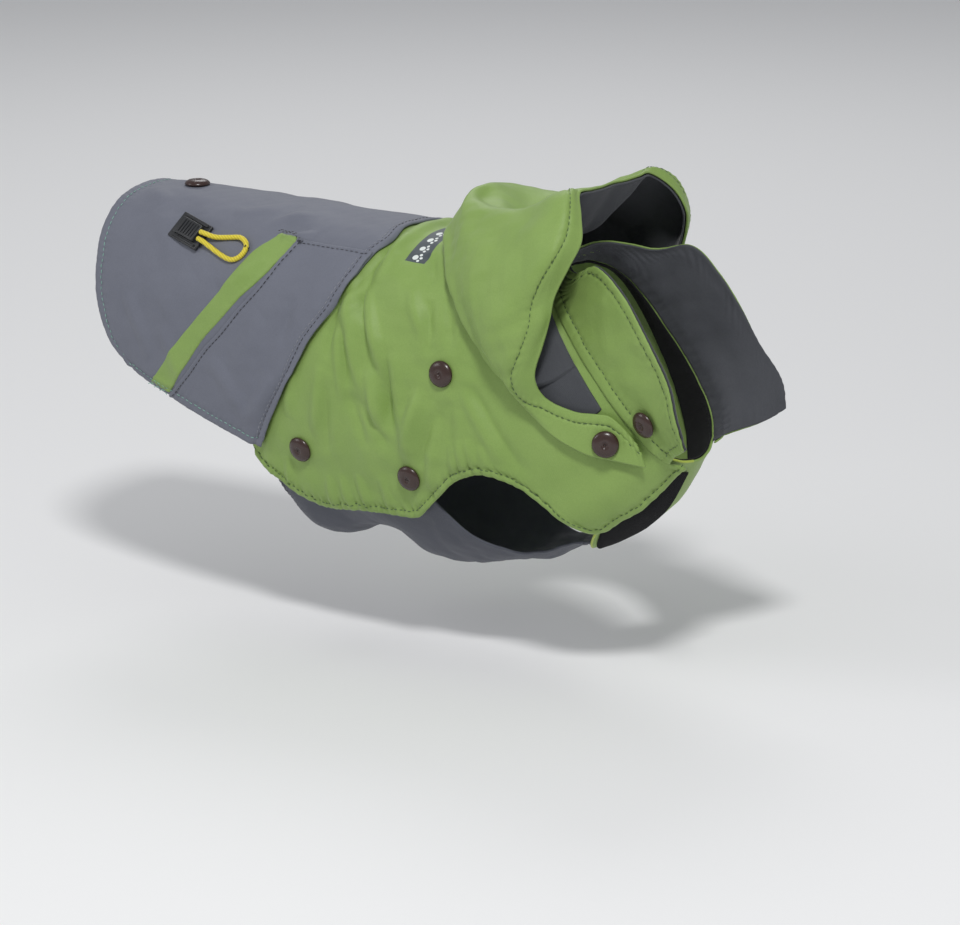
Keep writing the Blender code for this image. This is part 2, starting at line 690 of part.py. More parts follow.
def build_hood_lining():
    # Rows 0 to 6 line the hood's inside down from the rim, and the last three lie on the neck
    upper, lower = {}, {}
    floor_row = LINING_TOP_ROWS
    for c in range(LINING_COLUMNS, HOOD_COLUMNS - LINING_COLUMNS + 1):
        u = c / HOOD_COLUMNS
        g = hood_guides(u)
        tucked = TAB_COLUMNS <= c <= HOOD_COLUMNS - TAB_COLUMNS
        if tucked:
            for r in range(LINING_TOP_ROWS):
                v = (HOOD_ROWS - r) / HOOD_ROWS
                point, normal = hood_surface(v, u), surface_normal(hood_surface, v, u)
                upper[r, c] = point - normal * LINING_DEPTH
                lower[r, c] = point - normal * (LINING_DEPTH - TRIM_CLOTH)
            out = HOOD_TUCK_OUT + LINING_DEPTH
            floor = (
                (g.fold_back - 0.28 * g.tuck, g.fold_deg, out + 0.001),
                (g.fold_back - g.tuck - 0.002, g.fold_deg, out),
                (LINING_SEAM_BACK, g.rim_deg, 2 * LAYER + UNDER_GAP),
            )
            lean = 0.22 * g.tuck
        else:
            out = CLOTH + UNDER_GAP + TRIM_CLOTH
            under_tab, lean = 0.35, 0.0
            floor = (
                (
                    g.fold_back + (g.rim_back - g.fold_back) * under_tab,
                    g.fold_deg + (g.rim_deg - g.fold_deg) * under_tab,
                    out,
                ),
                (g.rim_back, g.rim_deg, out),
                (min(LINING_SEAM_BACK, g.rim_back - 0.001), g.rim_deg, out),
            )
        for i, (back, deg, height) in enumerate(floor):
            # In the fold behind, the side that faces the hollow comes forward
            upper[floor_row + i, c] = form_point(back - (lean if i == 0 else 0.0), deg, height)
            lower[floor_row + i, c] = form_point(back, deg, height - TRIM_CLOTH)
    # Its rows run the other way to the hood's, so its cells start a corner on to share its diagonals
    cells = [
        cell[1:] + cell[:1]
        for cell in grid_cells(floor_row + 2, HOOD_COLUMNS)
        if all(key in upper for key in cell)
    ]
    add_wall("hood_lining", lining_cloth, cells, upper, lower)


def frame_on(point, normal, ahead):
    # An upright frame on a piece of cloth: local Z along the normal, local X near "ahead"
    z = normal.normalized()
    x = (ahead - z * ahead.dot(z)).normalized()
    y = z.cross(x)
    matrix = Matrix((x, y, z)).transposed().to_4x4()
    matrix.translation = point + ORIGIN_SHIFT
    return matrix


def snap_profile():
    # Half profile of a domed snap cap with a ring and a dimple, from the top centre to the foot
    r, h = SNAP_DIAMETER / 2.0, SNAP_HEIGHT
    return (
        (0.0, h * 0.80),
        (r * 0.16, h * 0.80),
        (r * 0.24, h * 0.98),
        (r * 0.62, h * 0.86),
        (r * 0.92, h * 0.52),
        (r, h * 0.22),
        (r * 0.94, 0.0),
        (0.0, 0.0),
    )


def add_snap(name, matrix):
    mesh = bpy.data.meshes.new(name)
    profile = [(x, 0.0, z) for x, z in snap_profile()]
    mesh.from_pydata(profile, [(i, i + 1) for i in range(len(profile) - 1)], [])
    snap = add_object(name, mesh, snap_finish)
    snap.matrix_world = matrix
    turn = snap.modifiers.new("turned cap", "SCREW")
    turn.axis = "Z"
    turn.steps = SNAP_SIDES
    turn.render_steps = SNAP_SIDES
    turn.use_merge_vertices = True
    turn.merge_threshold = 0.0001
    turn.use_smooth_shade = True
    return snap


def seat_on_form(back, deg, out, reach):
    # The point and normal of a flat seat that just clears the cloth's folds within its reach
    normal = form_normal(back, deg)
    centre = form_point(back, deg, out)
    ahead = (bare_form(back - 0.001, deg) - bare_form(back + 0.001, deg)) / 0.002
    around = (bare_form(back, deg + 0.5) - bare_form(back, deg - 0.5)) / 1.0
    highest = 0.0
    for i in range(SEAT_SAMPLES):
        angle = math.tau * i / SEAT_SAMPLES
        step_back = -reach * math.cos(angle) / ahead.length
        step_deg = reach * math.sin(angle) / around.length
        edge = form_point(back + step_back, deg + step_deg, out)
        highest = max(highest, (edge - centre).dot(normal))
    return centre + normal * (highest + SEAM_GAP), normal


def snap_on_form(seat):
    point, normal = seat_on_form(seat.back, seat.deg, seat.out, SNAP_DIAMETER / 2.0)
    add_snap(seat.name, frame_on(point, normal, Vector((1.0, 0.0, 0.0))))


def seat_on_surface(surface, v, u, stand, reach, ease):
    # The same for a free surface, whose cloth stands a little out from it
    normal = surface_normal(surface, v, u)
    centre = surface(v, u) + normal * stand
    step = 0.004
    up = (surface(v + step, u) - surface(v - step, u)) / (2.0 * step)
    along = (surface(v, u + step) - surface(v, u - step)) / (2.0 * step)
    highest = 0.0
    for i in range(SEAT_SAMPLES):
        angle = math.tau * i / SEAT_SAMPLES
        edge_v = v + reach * math.cos(angle) / up.length
        edge_u = u + reach * math.sin(angle) / along.length
        edge = surface(edge_v, edge_u) + surface_normal(surface, edge_v, edge_u) * stand
        highest = max(highest, (edge - centre).dot(normal))
    return centre + normal * (highest + ease), normal


def snap_on_surface(name, surface, v, u, stand, ease):
    point, normal = seat_on_surface(surface, v, u, stand, SNAP_DIAMETER / 2.0, ease)
    add_snap(name, frame_on(point, normal, Vector((1.0, 0.0, 0.0))))


def build_lock():
    # A plate with bevelled edges and a raised, ribbed pad, joined into one body
    point, normal = seat_on_form(LOCK_BACK, LOCK_DEG, SADDLE_FACE, LOCK_WIDTH * 0.6)
    front = form_point(LOCK_BACK + LOCK_RUN_BACK, LOCK_DEG + LOCK_RUN_DEG, SADDLE_FACE)
    ahead = front - form_point(LOCK_BACK, LOCK_DEG, SADDLE_FACE)
    place = frame_on(point, normal, ahead)

    def block(name, start, end, width, base, top):
        bpy.ops.mesh.primitive_cube_add(size=1.0)
        cube = bpy.context.object
        cube.name = name
        for vertex in cube.data.vertices:
            x, y, z = vertex.co
            vertex.co = ((start + end) / 2.0 + x * (end - start), y * width, (base + top) / 2.0 + z * (top - base))
        return cube

    plate = block("cord_lock", -LOCK_LENGTH / 2.0, LOCK_LENGTH / 2.0, LOCK_WIDTH, 0.0, LOCK_PLATE)
    bevel = plate.modifiers.new("rounded corners", "BEVEL")
    bevel.width = 0.0007
    bevel.segments = 1
    overlap = 0.0005
    pad_top = LOCK_PLATE + LOCK_PAD
    pad = block("lock_pad", LOCK_PAD_START, LOCK_PAD_END, LOCK_WIDTH * 0.64, LOCK_PLATE - overlap, pad_top)
    ribs = []
    rib_count = 5
    rib_size = 0.0011
    for i in range(rib_count):
        x = LOCK_PAD_START + (LOCK_PAD_END - LOCK_PAD_START) * (i + 1) / (rib_count + 1)
        name = f"lock_rib_{i}"
        ribs.append(block(name, x - rib_size / 2, x + rib_size / 2, LOCK_WIDTH * 0.5, pad_top - overlap, pad_top + 0.0006))
    for cutter in [pad] + ribs:
        for owner in list(cutter.users_collection):
            owner.objects.unlink(cutter)
        cutters.objects.link(cutter)
        cutter.hide_render = True
        cutter.display_type = "WIRE"
        cutter.matrix_world = place
        union = plate.modifiers.new(f"join {cutter.name}", "BOOLEAN")
        union.operation = "UNION"
        union.solver = "EXACT"
        union.object = cutter
    plate.data.materials.append(black_plastic)
    plate.matrix_world = place
    for owner in list(plate.users_collection):
        owner.objects.unlink(plate)
    coat.objects.link(plate)


def build_loop():
    # The elastic loop lies on the saddle, in front of the lock
    out = SADDLE_FACE + CORD_DIAMETER / 2.0 + SEAM_GAP
    numbered = [(i / (len(LOOP_ROUTE) - 1), *p) for i, p in enumerate(LOOP_ROUTE)]
    curve = bpy.data.curves.new("cord_loop", "CURVE")
    curve.dimensions = "3D"
    curve.bevel_depth = CORD_DIAMETER / 2.0
    curve.bevel_resolution = 2
    curve.use_fill_caps = True
    spline = curve.splines.new("POLY")
    spline.points.add(LOOP_POINTS - 1)
    for i, point in enumerate(spline.points):
        back, deg, rise = hermite(numbered, i / (LOOP_POINTS - 1))
        point.co = (*(form_point(back, deg, out + max(rise, 0.0)) + ORIGIN_SHIFT), 1.0)
    loop = bpy.data.objects.new("cord_loop", curve)
    curve.materials.append(yellow_elastic)
    coat.objects.link(loop)


for leftover in list(bpy.data.objects):
    bpy.data.objects.remove(leftover, do_unlink=True)
coat = build_collection("dog_coat")
cutters = build_collection("cutters")

green_cloth = finish("green cloth", GREEN, 0.62)
grey_cloth = finish("grey cloth", GREY, 0.66)
lining_cloth = finish("dark grey lining", LINING_GREY, 0.60)
black_lining = finish("black lining", BLACK, 0.95)
black_strip = finish("black hook and loop", BLACK, 0.90)
snap_finish = finish("dark brown snap", SNAP_BROWN, 0.32)
black_plastic = finish("black plastic", PLASTIC_BLACK, 0.40)
yellow_elastic = finish("yellow elastic", YELLOW, 0.60)

body_places, chest_rows = body_grid()
build_body()
add_panel("saddle", grey_cloth, 14, 30, saddle_place, SADDLE_OUT, CLOTH)
add_panel("pocket", grey_cloth, 12, 8, pocket_place, SADDLE_FACE + SEAM_GAP, TRIM_CLOTH)
add_panel("welt", green_cloth, 14, 2, welt_place, SADDLE_FACE + SEAM_GAP, CLOTH)
build_belly_panel()

build_collar()
build_hood()

for seat in SNAPS:
    snap_on_form(seat)
for side, u in (("right", TAB_SNAP_SHARE), ("left", 1.0 - TAB_SNAP_SHARE)):
    snap_on_surface(f"snap_tab_{side}", hood_surface, TAB_SNAP_HEIGHT, u, 0.0, TAB_SEAT_EASE)
for side, u in (("right", COLLAR_SNAP_RIGHT), ("left", COLLAR_SNAP_LEFT)):
    name = f"snap_collar_{side}"
    snap_on_surface(name, collar_surface, COLLAR_SNAP_HEIGHT, u, TRIM_LAYER, COLLAR_SEAT_EASE)
build_lock()
build_loop()
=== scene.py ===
# A small dog's coat, worn: its cloth with creases and gathers, its sewing, snaps, lock and elastic loop.
# Metres, +Z up, +X to the front, +Y to the wearer's left.
# A place on the coat is "back", measured from the nape along the back, and "deg", round from the top.

import math

import bmesh
import bpy
import numpy as np
from mathutils import Matrix, Vector


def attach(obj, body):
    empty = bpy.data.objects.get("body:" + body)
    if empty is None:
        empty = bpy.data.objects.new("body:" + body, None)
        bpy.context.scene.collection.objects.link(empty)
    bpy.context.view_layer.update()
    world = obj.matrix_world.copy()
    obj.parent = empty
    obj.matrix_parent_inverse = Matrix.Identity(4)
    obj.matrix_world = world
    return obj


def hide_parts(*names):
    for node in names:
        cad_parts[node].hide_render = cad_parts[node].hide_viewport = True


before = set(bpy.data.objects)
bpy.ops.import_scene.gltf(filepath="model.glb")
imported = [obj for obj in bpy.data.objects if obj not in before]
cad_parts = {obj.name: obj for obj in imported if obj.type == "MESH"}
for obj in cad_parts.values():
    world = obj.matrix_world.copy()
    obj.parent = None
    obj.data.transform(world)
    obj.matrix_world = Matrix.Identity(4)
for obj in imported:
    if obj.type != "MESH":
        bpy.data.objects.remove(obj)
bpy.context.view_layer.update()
rowOrigin = np.array((0.090, 0.0, -0.0077))  # where the nape lies in the part's frame


def addToScene(name, data):
    made = bpy.data.objects.new(name, data)
    bpy.context.scene.collection.objects.link(made)
    return made


# Camera: it looks at the coat's right front from a little above
camera = {"azimuth": 35.0, "elevation": 15.0, "distance": 2.2, "focalPixels": 4026.0, "sensor": 36.0,
          "napeX": 575.0, "napeY": 262.0, "width": 960.0, "height": 925.0, "nearest": 0.05,
          "farthest": 20.0}


def placeCamera(c):
    a, e = math.radians(c["azimuth"]), math.radians(c["elevation"])
    back = Vector((math.sin(a) * math.cos(e), -math.cos(a) * math.cos(e), math.sin(e)))
    right = Vector((math.cos(a), math.sin(a), 0.0))
    up = back.cross(right)
    perPixel = c["distance"] / c["focalPixels"]
    place = back * c["distance"]
    place -= right * ((c["napeX"] - c["width"] / 2.0) * perPixel)
    place += up * ((c["napeY"] - c["height"] / 2.0) * perPixel)
    data = bpy.data.cameras.new("camera")
    data.sensor_width = c["sensor"]
    data.lens = c["focalPixels"] / c["width"] * c["sensor"]
    data.clip_start, data.clip_end = c["nearest"], c["farthest"]
    seen = addToScene("camera", data)
    turn = Matrix((right, up, back)).transposed().to_4x4()
    turn.translation = place + Vector(rowOrigin)
    seen.matrix_world = turn
    bpy.context.scene.camera = seen


placeCamera(camera)
print("camera placed")

# Layers of cloth, from the inside out
layers = {"cloth": 0.0014, "trim": 0.0011, "gap": 0.0003, "underGap": 0.0007, "saddleEase": 0.0002,
          "roundEdge": 0.45}
cloth, trim, gap = layers["cloth"], layers["trim"], layers["gap"]
trimLayer = trim + gap
saddleOut = cloth + gap + layers["saddleEase"]
saddleFace = saddleOut + cloth

# The right flap lifts off the left one as it nears the chest's middle; folds fade above the form
flap = {"lift": 0.0052, "startDeg": -124.0, "overDeg": 21.0}
foldFade = {"start": 0.0045, "over": 0.010}

# Sections of the wearer's trunk and neck: back, top x and z, low x and z, half width
rings = (
    (-0.052, 0.040, 0.034, 0.120, -0.066, 0.043),
    (-0.025, 0.018, 0.014, 0.100, -0.083, 0.044),
    (0.000, 0.000, 0.000, 0.080, -0.099, 0.046),
    (0.010, -0.010, 0.003, 0.060, -0.130, 0.055),
    (0.028, -0.028, 0.006, 0.022, -0.155, 0.062),
    (0.060, -0.060, 0.008, -0.034, -0.168, 0.066),
    (0.105, -0.105, 0.0075, -0.092, -0.167, 0.066),
    (0.155, -0.155, 0.008, -0.146, -0.163, 0.064),
    (0.208, -0.208, 0.009, -0.200, -0.158, 0.061),
    (0.262, -0.262, 0.010, -0.252, -0.152, 0.056),
    (0.304, -0.304, 0.009, -0.286, -0.140, 0.049),
)

# The largest folds, as the part has them: from back and deg to back and deg, width, height
mainFolds = (
    (0.0950, -30.0, 0.0950, 30.0, 0.0050, 0.0036),
    (0.070, -64.0, 0.100, -24.0, 0.0095, 0.0022),
    (0.074, -86.0, 0.110, -60.0, 0.0085, 0.0020),
    (0.070, -88.0, 0.081, -116.0, 0.0080, 0.0020),
    (0.052, -92.0, 0.056, -114.0, 0.0080, 0.0018),
    (0.128, -70.0, 0.138, -118.0, 0.0095, 0.0017),
    (0.100, -84.0, 0.108, -130.0, 0.0085, 0.0017),
    (0.070, 62.0, 0.102, 26.0, 0.0095, 0.0020),
    (0.074, 92.0, 0.106, 62.0, 0.0085, 0.0020),
    (0.068, 90.0, 0.080, 116.0, 0.0080, 0.0018),
    (0.126, 76.0, 0.140, 120.0, 0.0095, 0.0017),
    (0.100, 88.0, 0.110, 128.0, 0.0085, 0.0017),
    (0.180, -8.0, 0.152, -28.0, 0.0090, 0.0016),
    (0.200, 6.0, 0.164, 26.0, 0.0090, 0.0014),
    (0.262, -66.0, 0.226, -98.0, 0.0120, 0.0014),
    (0.258, 64.0, 0.222, 96.0, 0.0120, 0.0014),
)

# Finer creases: from back and deg to back and deg, width, height, and how far the middle bows aside
creases = (
    # troughs and ridges of the right side, where the photo's shading is deepest
    (0.1210, -56.0, 0.1275, -82.0, 0.0031, -0.0011, 0.0),
    (0.0870, -77.0, 0.0925, -104.0, 0.0032, -0.0012, 0.0),
    (0.1150, -92.0, 0.1055, -112.0, 0.0032, -0.0012, 0.001),
    (0.0600, -92.0, 0.0755, -115.0, 0.0033, -0.0013, -0.001),
    (0.0540, -88.0, 0.0590, -111.0, 0.0031, -0.0012, 0.001),
    (0.0620, -50.0, 0.0620, -74.0, 0.0034, -0.0012, 0.0),
    (0.1040, -35.0, 0.1075, -64.0, 0.0031, -0.0012, 0.001),
    (0.1060, -11.0, 0.1030, -39.0, 0.0032, -0.0012, 0.002),
    (0.0740, -25.0, 0.0620, -43.0, 0.0034, -0.0011, 0.001),
    (0.1300, -87.0, 0.1345, -119.0, 0.0036, -0.0011, 0.001),
    (0.0980, -14.0, 0.0985, -46.0, 0.0032, 0.0010, 0.002),
    (0.1140, -44.0, 0.1185, -74.0, 0.0031, 0.0011, 0.001),
    (0.0690, -90.0, 0.0830, -113.0, 0.0031, 0.0010, -0.001),
    (0.0970, -82.0, 0.0980, -108.0, 0.0031, 0.0009, 0.001),
    # gathers at the top of the armhole and along the hem, right and left
    (0.0575, -117.5, 0.0560, -104.0, 0.0016, 0.0010),
    (0.0525, -116.5, 0.0520, -103.0, 0.0016, 0.0011),
    (0.0475, -115.5, 0.0480, -102.0, 0.0016, 0.0010),
    (0.0430, -116.0, 0.0430, -105.0, 0.0015, 0.0009),
    (0.0980, -138.0, 0.1000, -122.0, 0.0020, 0.0009),
    (0.1120, -139.0, 0.1160, -124.0, 0.0022, 0.0010),
    (0.1250, -141.0, 0.1280, -127.0, 0.0020, 0.0009),
    (0.1370, -143.0, 0.1360, -129.0, 0.0022, 0.0010),
    (0.1660, -139.0, 0.1640, -126.0, 0.0022, 0.0009),
    (0.0570, 117.0, 0.0560, 104.0, 0.0016, 0.0010),
    (0.0480, 115.5, 0.0490, 102.0, 0.0016, 0.0010),
    (0.1050, 138.0, 0.1080, 123.0, 0.0020, 0.0009),
    (0.1300, 141.0, 0.1320, 127.0, 0.0022, 0.0010),
    (0.104, 14.0, 0.103, 48.0, 0.0032, 0.0014, -0.0055),
    (0.060, 88.0, 0.073, 112.0, 0.0026, 0.0013, 0.002),
    # the long creases of both sides
    (0.106, -46.0, 0.088, -92.0, 0.0030, 0.0016, 0.002),
    (0.113, -58.0, 0.104, -92.0, 0.0028, 0.0015, -0.002),
    (0.109, -52.0, 0.098, -84.0, 0.0026, -0.0014, 0.001),
    (0.121, -68.0, 0.119, -96.0, 0.0026, 0.0012, 0.001),
    (0.118, -63.0, 0.115, -90.0, 0.0024, -0.0012, -0.001),
    (0.092, -70.0, 0.090, -108.0, 0.0042, -0.0010, 0.003),
    (0.084, -74.0, 0.078, -110.0, 0.0038, 0.0011, -0.002),
    (0.078, -104.0, 0.068, -86.0, 0.0030, 0.0013, 0.001),
    (0.088, -108.0, 0.102, -80.0, 0.0032, 0.0012, 0.002),
    (0.092, -110.0, 0.112, -92.0, 0.0028, -0.0010, -0.001),
    (0.066, -110.0, 0.058, -90.0, 0.0028, -0.0012, -0.001),
    (0.072, -124.0, 0.060, -96.0, 0.0026, 0.0011, 0.001),
    (0.142, -112.0, 0.132, -84.0, 0.0032, 0.0010, -0.002),
    (0.158, -108.0, 0.152, -90.0, 0.0030, 0.0009, 0.001),
    (0.048, -84.0, 0.036, -112.0, 0.0034, 0.0014, 0.002),
    (0.042, -82.0, 0.028, -118.0, 0.0030, -0.0012, -0.001),
    (0.060, -70.0, 0.074, -44.0, 0.0036, 0.0011, 0.002),
    (0.050, -72.0, 0.052, -48.0, 0.0032, -0.0010, -0.001),
    (0.108, 50.0, 0.090, 92.0, 0.0032, 0.0015, 0.002),
    (0.117, 62.0, 0.108, 96.0, 0.0028, 0.0013, -0.002),
    (0.112, 56.0, 0.100, 88.0, 0.0026, -0.0012, 0.001),
    (0.078, 104.0, 0.066, 84.0, 0.0030, 0.0012, 0.001),
    (0.090, 108.0, 0.104, 82.0, 0.0032, 0.0011, 0.002),
    (0.140, 112.0, 0.134, 86.0, 0.0032, 0.0010, -0.002),
    (0.048, 84.0, 0.034, 114.0, 0.0034, 0.0013, 0.002),
    (0.062, 72.0, 0.072, 42.0, 0.0036, 0.0011, 0.002),
    # creases of the saddle
    (0.166, -92.0, 0.190, -114.0, 0.0034, 0.0011, 0.002),
    (0.176, -40.0, 0.206, -62.0, 0.0060, 0.0010, 0.003),
    (0.226, -58.0, 0.246, -80.0, 0.0065, 0.0010, -0.002),
    (0.282, -74.0, 0.262, -100.0, 0.0050, 0.0009, 0.002),
    (0.188, -10.0, 0.214, -22.0, 0.0060, 0.0009, 0.002),
    (0.288, -12.0, 0.262, -30.0, 0.0060, 0.0009, 0.002),
    (0.150, -26.0, 0.172, -33.0, 0.0030, 0.0010, 0.001),
    (0.160, -16.0, 0.186, -24.0, 0.0040, 0.0009, -0.002),
    (0.214, -92.0, 0.188, -112.0, 0.0050, 0.0008, 0.002),
    (0.172, -70.0, 0.196, -96.0, 0.0060, 0.0009, 0.002),
    (0.150, -58.0, 0.160, -80.0, 0.0040, -0.0007, 0.001),
    (0.252, -84.0, 0.236, -108.0, 0.0055, 0.0009, 0.002),
    (0.270, -30.0, 0.244, -52.0, 0.0080, 0.0009, 0.004),
    (0.166, 30.0, 0.184, 52.0, 0.0050, 0.0009, 0.002),
    (0.214, 88.0, 0.196, 112.0, 0.0050, 0.0008, 0.002),
    (0.262, 40.0, 0.240, 66.0, 0.0080, 0.0009, 0.004),
)

# The saddle's front edge on one side: back, deg
saddleFrontEdge = (
    (0.1052, 0.0), (0.1050, 12.0), (0.1048, 22.0), (0.1085, 33.5), (0.1149, 47.0), (0.1215, 54.5),
    (0.1300, 63.0), (0.1390, 70.5), (0.1475, 79.0), (0.1560, 87.5), (0.1667, 97.2), (0.1770, 108.0),
    (0.1885, 122.5),
)

# Snaps on the body and the saddle: back, deg, how many gathers they pull, the gathers' height, and the
# height above the form of the cloth they lie on
formSnaps = {
    "snap_side": (0.0560, -79.5, 5, 0.0005, cloth),
    "snap_belly_rear_right": (0.1530, -120.0, 4, 0.0003, cloth),
    "snap_belly_front_right": (0.0825, -120.3, 5, 0.0006, cloth),
    "snap_belly_rear_left": (0.1530, 120.0, 4, 0.0003, cloth),
    "snap_belly_front_left": (0.0825, 120.3, 5, 0.0006, cloth),
    "snap_back": (0.2640, 0.0, 3, 0.0003, saddleFace),
}


def hermite(table, x):
    # Smooth values of a table of (x, values) rows at many x, straight on beyond its ends
    t = np.asarray(table, float)
    x = np.asarray(x, float)
    last = len(t) - 1
    i = np.searchsorted(t[1:last, 0], x, side="left")
    x0, x1 = t[i, 0], t[i + 1, 0]
    span = x1 - x0
    f = ((x - x0) / span)[..., None]
    below, above = t[np.maximum(i - 1, 0)], t[np.minimum(i + 2, last)]
    a, b = t[i, 1:], t[i + 1, 1:]
    slopeA = (b - below[..., 1:]) * (span / (x1 - below[..., 0]))[..., None]
    slopeB = (above[..., 1:] - a) * (span / (above[..., 0] - x0))[..., None]
    inside = a * (2 * f**3 - 3 * f**2 + 1) + b * (3 * f**2 - 2 * f**3)
    inside = inside + slopeA * (f**3 - 2 * f**2 + f) + slopeB * (f**3 - f**2)
    return np.where(f < 0.0, a + slopeA * f, np.where(f > 1.0, b + slopeB * (f - 1.0), inside))


def smoothLine(table, x, key=0, value=1):
    # One column of a table by another, smooth, and held at its ends
    t = np.asarray(table, float)
    x = np.clip(np.asarray(x, float), t[0, key], t[-1, key])
    return hermite(t[:, [key, value]], x)[..., 0]


def smoothstep(x):
    x = np.clip(x, 0.0, 1.0)
    return x * x * (3.0 - 2.0 * x)


section = {"highWaist": 0.04, "squareness": 0.07}


def bareForm(back, deg):
    back, deg = np.broadcast_arrays(np.asarray(back, float), np.asarray(deg, float))
    topX, topZ, lowX, lowZ, halfWidth = np.moveaxis(hermite(rings, back), -1, 0)
    t = np.radians(deg)
    along = (1.0 - np.cos(t)) / 2.0 - section["highWaist"] * np.sin(t) ** 2
    across = halfWidth * (np.sin(t) + section["squareness"] * np.sin(3.0 * t))
    return np.stack((topX + (lowX - topX) * along, across, topZ + (lowZ - topZ) * along), -1) + rowOrigin


def unit(vectors):
    return vectors / np.maximum(np.linalg.norm(vectors, axis=-1, keepdims=True), 1e-12)


def formRuns(back, deg):
    # Forward over 2 mm of the back, and round over one degree
    halfBack, halfDeg = 0.001, 0.5
    forward = bareForm(back - halfBack, deg) - bareForm(back + halfBack, deg)
    around = bareForm(back, deg + halfDeg) - bareForm(back, deg - halfDeg)
    return forward, around


def formNormal(back, deg):
    return unit(np.cross(*formRuns(back, deg)))


perDeg = 0.00115  # metres round the trunk for a degree


def fromTop(deg):
    # The same angle between -180 and 180
    return (deg + 180.0) % 360.0 - 180.0


def foldHeight(back, deg, table):
    # Each fold is a ridge or a trough that runs out at its two ends
    deg = fromTop(deg)
    height = np.zeros(np.broadcast(back, deg).shape)
    for row in table:
        backA, degA, backB, degB, width, rise = row[:6]
        bow = row[6] if len(row) > 6 else 0.0
        dx, dy = backB - backA, (degB - degA) * perDeg
        px, py = back - backA, (deg - degA) * perDeg
        length = math.hypot(dx, dy)
        share = np.clip((px * dx + py * dy) / length**2, 0.0, 1.0)
        aside = (px * dy - py * dx) / length - bow * 4.0 * share * (1.0 - share)
        height = height + rise * np.sin(np.pi * share) ** 0.7 * np.exp(-((aside / width) ** 2))
    return height


def ripple(points, size, seed):
    # Unevenness of about that size, from -1 to 1
    random = np.random.default_rng(seed)
    total = np.zeros(points.shape[:-1])
    for _ in range(9):
        run = unit(random.normal(size=3)) * 2.0 * np.pi / (size * random.uniform(0.7, 2.0))
        total = total + np.sin(points @ run + random.uniform(0.0, 6.28))
    return total / 4.0


wear = {"creases": 2.15, "swell": 0.00055, "swellSize": 0.034, "crinkle": 0.00018, "crinkleSize": 0.011,
        "groove": 0.0010, "grooveAhead": 0.0042, "grooveWidth": 0.0028, "grooveDeg": 12.0,
        "grooveOver": 20.0, "gatherRadius": 0.0135, "gatherWidth": 0.0050, "gatherTurn": 40.0,
        "calmRadius": 0.0095}


def relief(back, deg):
    # All that the cloth does on the form: folds, creases, gathers round snaps, unevenness
    deg = fromTop(deg)
    height = foldHeight(back, deg, mainFolds)
    # the body's cloth sinks in beside the saddle's front edge
    ahead = smoothLine(saddleFrontEdge, np.abs(deg), 1, 0) - back - wear["grooveAhead"]
    sides = smoothstep((np.abs(deg) - wear["grooveDeg"]) / wear["grooveOver"])
    height = height - wear["groove"] * sides * np.exp(-((ahead / wear["grooveWidth"]) ** 2))
    spot = bareForm(back, deg)
    # gathers run out from each snap, and the cloth under its cap lies calm
    calm = np.ones(height.shape)
    for snapBack, snapDeg, count, rise, _ in formSnaps.values():
        dx, dy = back - snapBack, (deg - snapDeg) * perDeg
        radius, angle = np.hypot(dx, dy), np.arctan2(dy, dx)
        ring = np.exp(-(((radius - wear["gatherRadius"]) / wear["gatherWidth"]) ** 2))
        height = height + rise * np.cos(count * angle + wear["gatherTurn"] * snapBack) * ring
        calm = calm * (1.0 - np.exp(-((radius / wear["calmRadius"]) ** 4)))
    fine = wear["creases"] * foldHeight(back, deg, creases)
    fine = fine + wear["swell"] * ripple(spot, wear["swellSize"], 3)
    fine = fine + wear["crinkle"] * ripple(spot, wear["crinkleSize"], 5)
    return height + calm * fine


def formPoint(back, deg, out=0.0, detail=True):
    # A place on the worn form, "out" metres from it; without detail only the largest folds count
    fade = 1.0 - smoothstep((out - foldFade["start"]) / foldFade["over"])
    height = relief(back, deg) if detail else foldHeight(back, deg, mainFolds)
    lift = out + height * fade
    return bareForm(back, deg) + formNormal(back, deg) * np.asarray(lift)[..., None]


def flapLift(deg):
    return flap["lift"] * smoothstep((flap["startDeg"] - deg) / flap["overDeg"])


# Materials

def node(tree, kind, values=None, **settings):
    made = tree.nodes.new(kind)
    for key, value in settings.items():
        setattr(made, key, value)
    for key, value in (values or {}).items():
        made.inputs[key].default_value = value
    return made


def startMaterial(name, colour, roughness, **shaderValues):
    material = bpy.data.materials.new(name)
    material.use_nodes = True
    material.diffuse_color = (*colour, 1.0)
    tree = material.node_tree
    shader = tree.nodes["Principled BSDF"]
    shader.inputs["Base Color"].default_value = (*colour, 1.0)
    shader.inputs["Roughness"].default_value = roughness
    for key, value in shaderValues.items():
        shader.inputs[key.replace("_", " ")].default_value = value
    return material, tree, shader


def sheenOf(weight, roughness=0.4):
    return {"Sheen_Weight": weight, "Sheen_Roughness": roughness}


def toned(colour, factor):
    return tuple(min(c * factor, 1.0) for c in colour)


def mixColours(tree, factor, first, second):
    mix = node(tree, "ShaderNodeMix", data_type="RGBA")
    tree.links.new(factor, mix.inputs[0])
    for socket, value in ((mix.inputs[6], first), (mix.inputs[7], second)):
        if isinstance(value, tuple):
            socket.default_value = (*value, 1.0)
        else:
            tree.links.new(value, socket)
    return mix.outputs[2]


def math2(tree, operation, a, b=0.0):
    made = node(tree, "ShaderNodeMath", operation=operation)
    for socket, value in zip(made.inputs, (a, b)):
        if isinstance(value, float):
            socket.default_value = value
        else:
            tree.links.new(value, socket)
    return made.outputs[0]


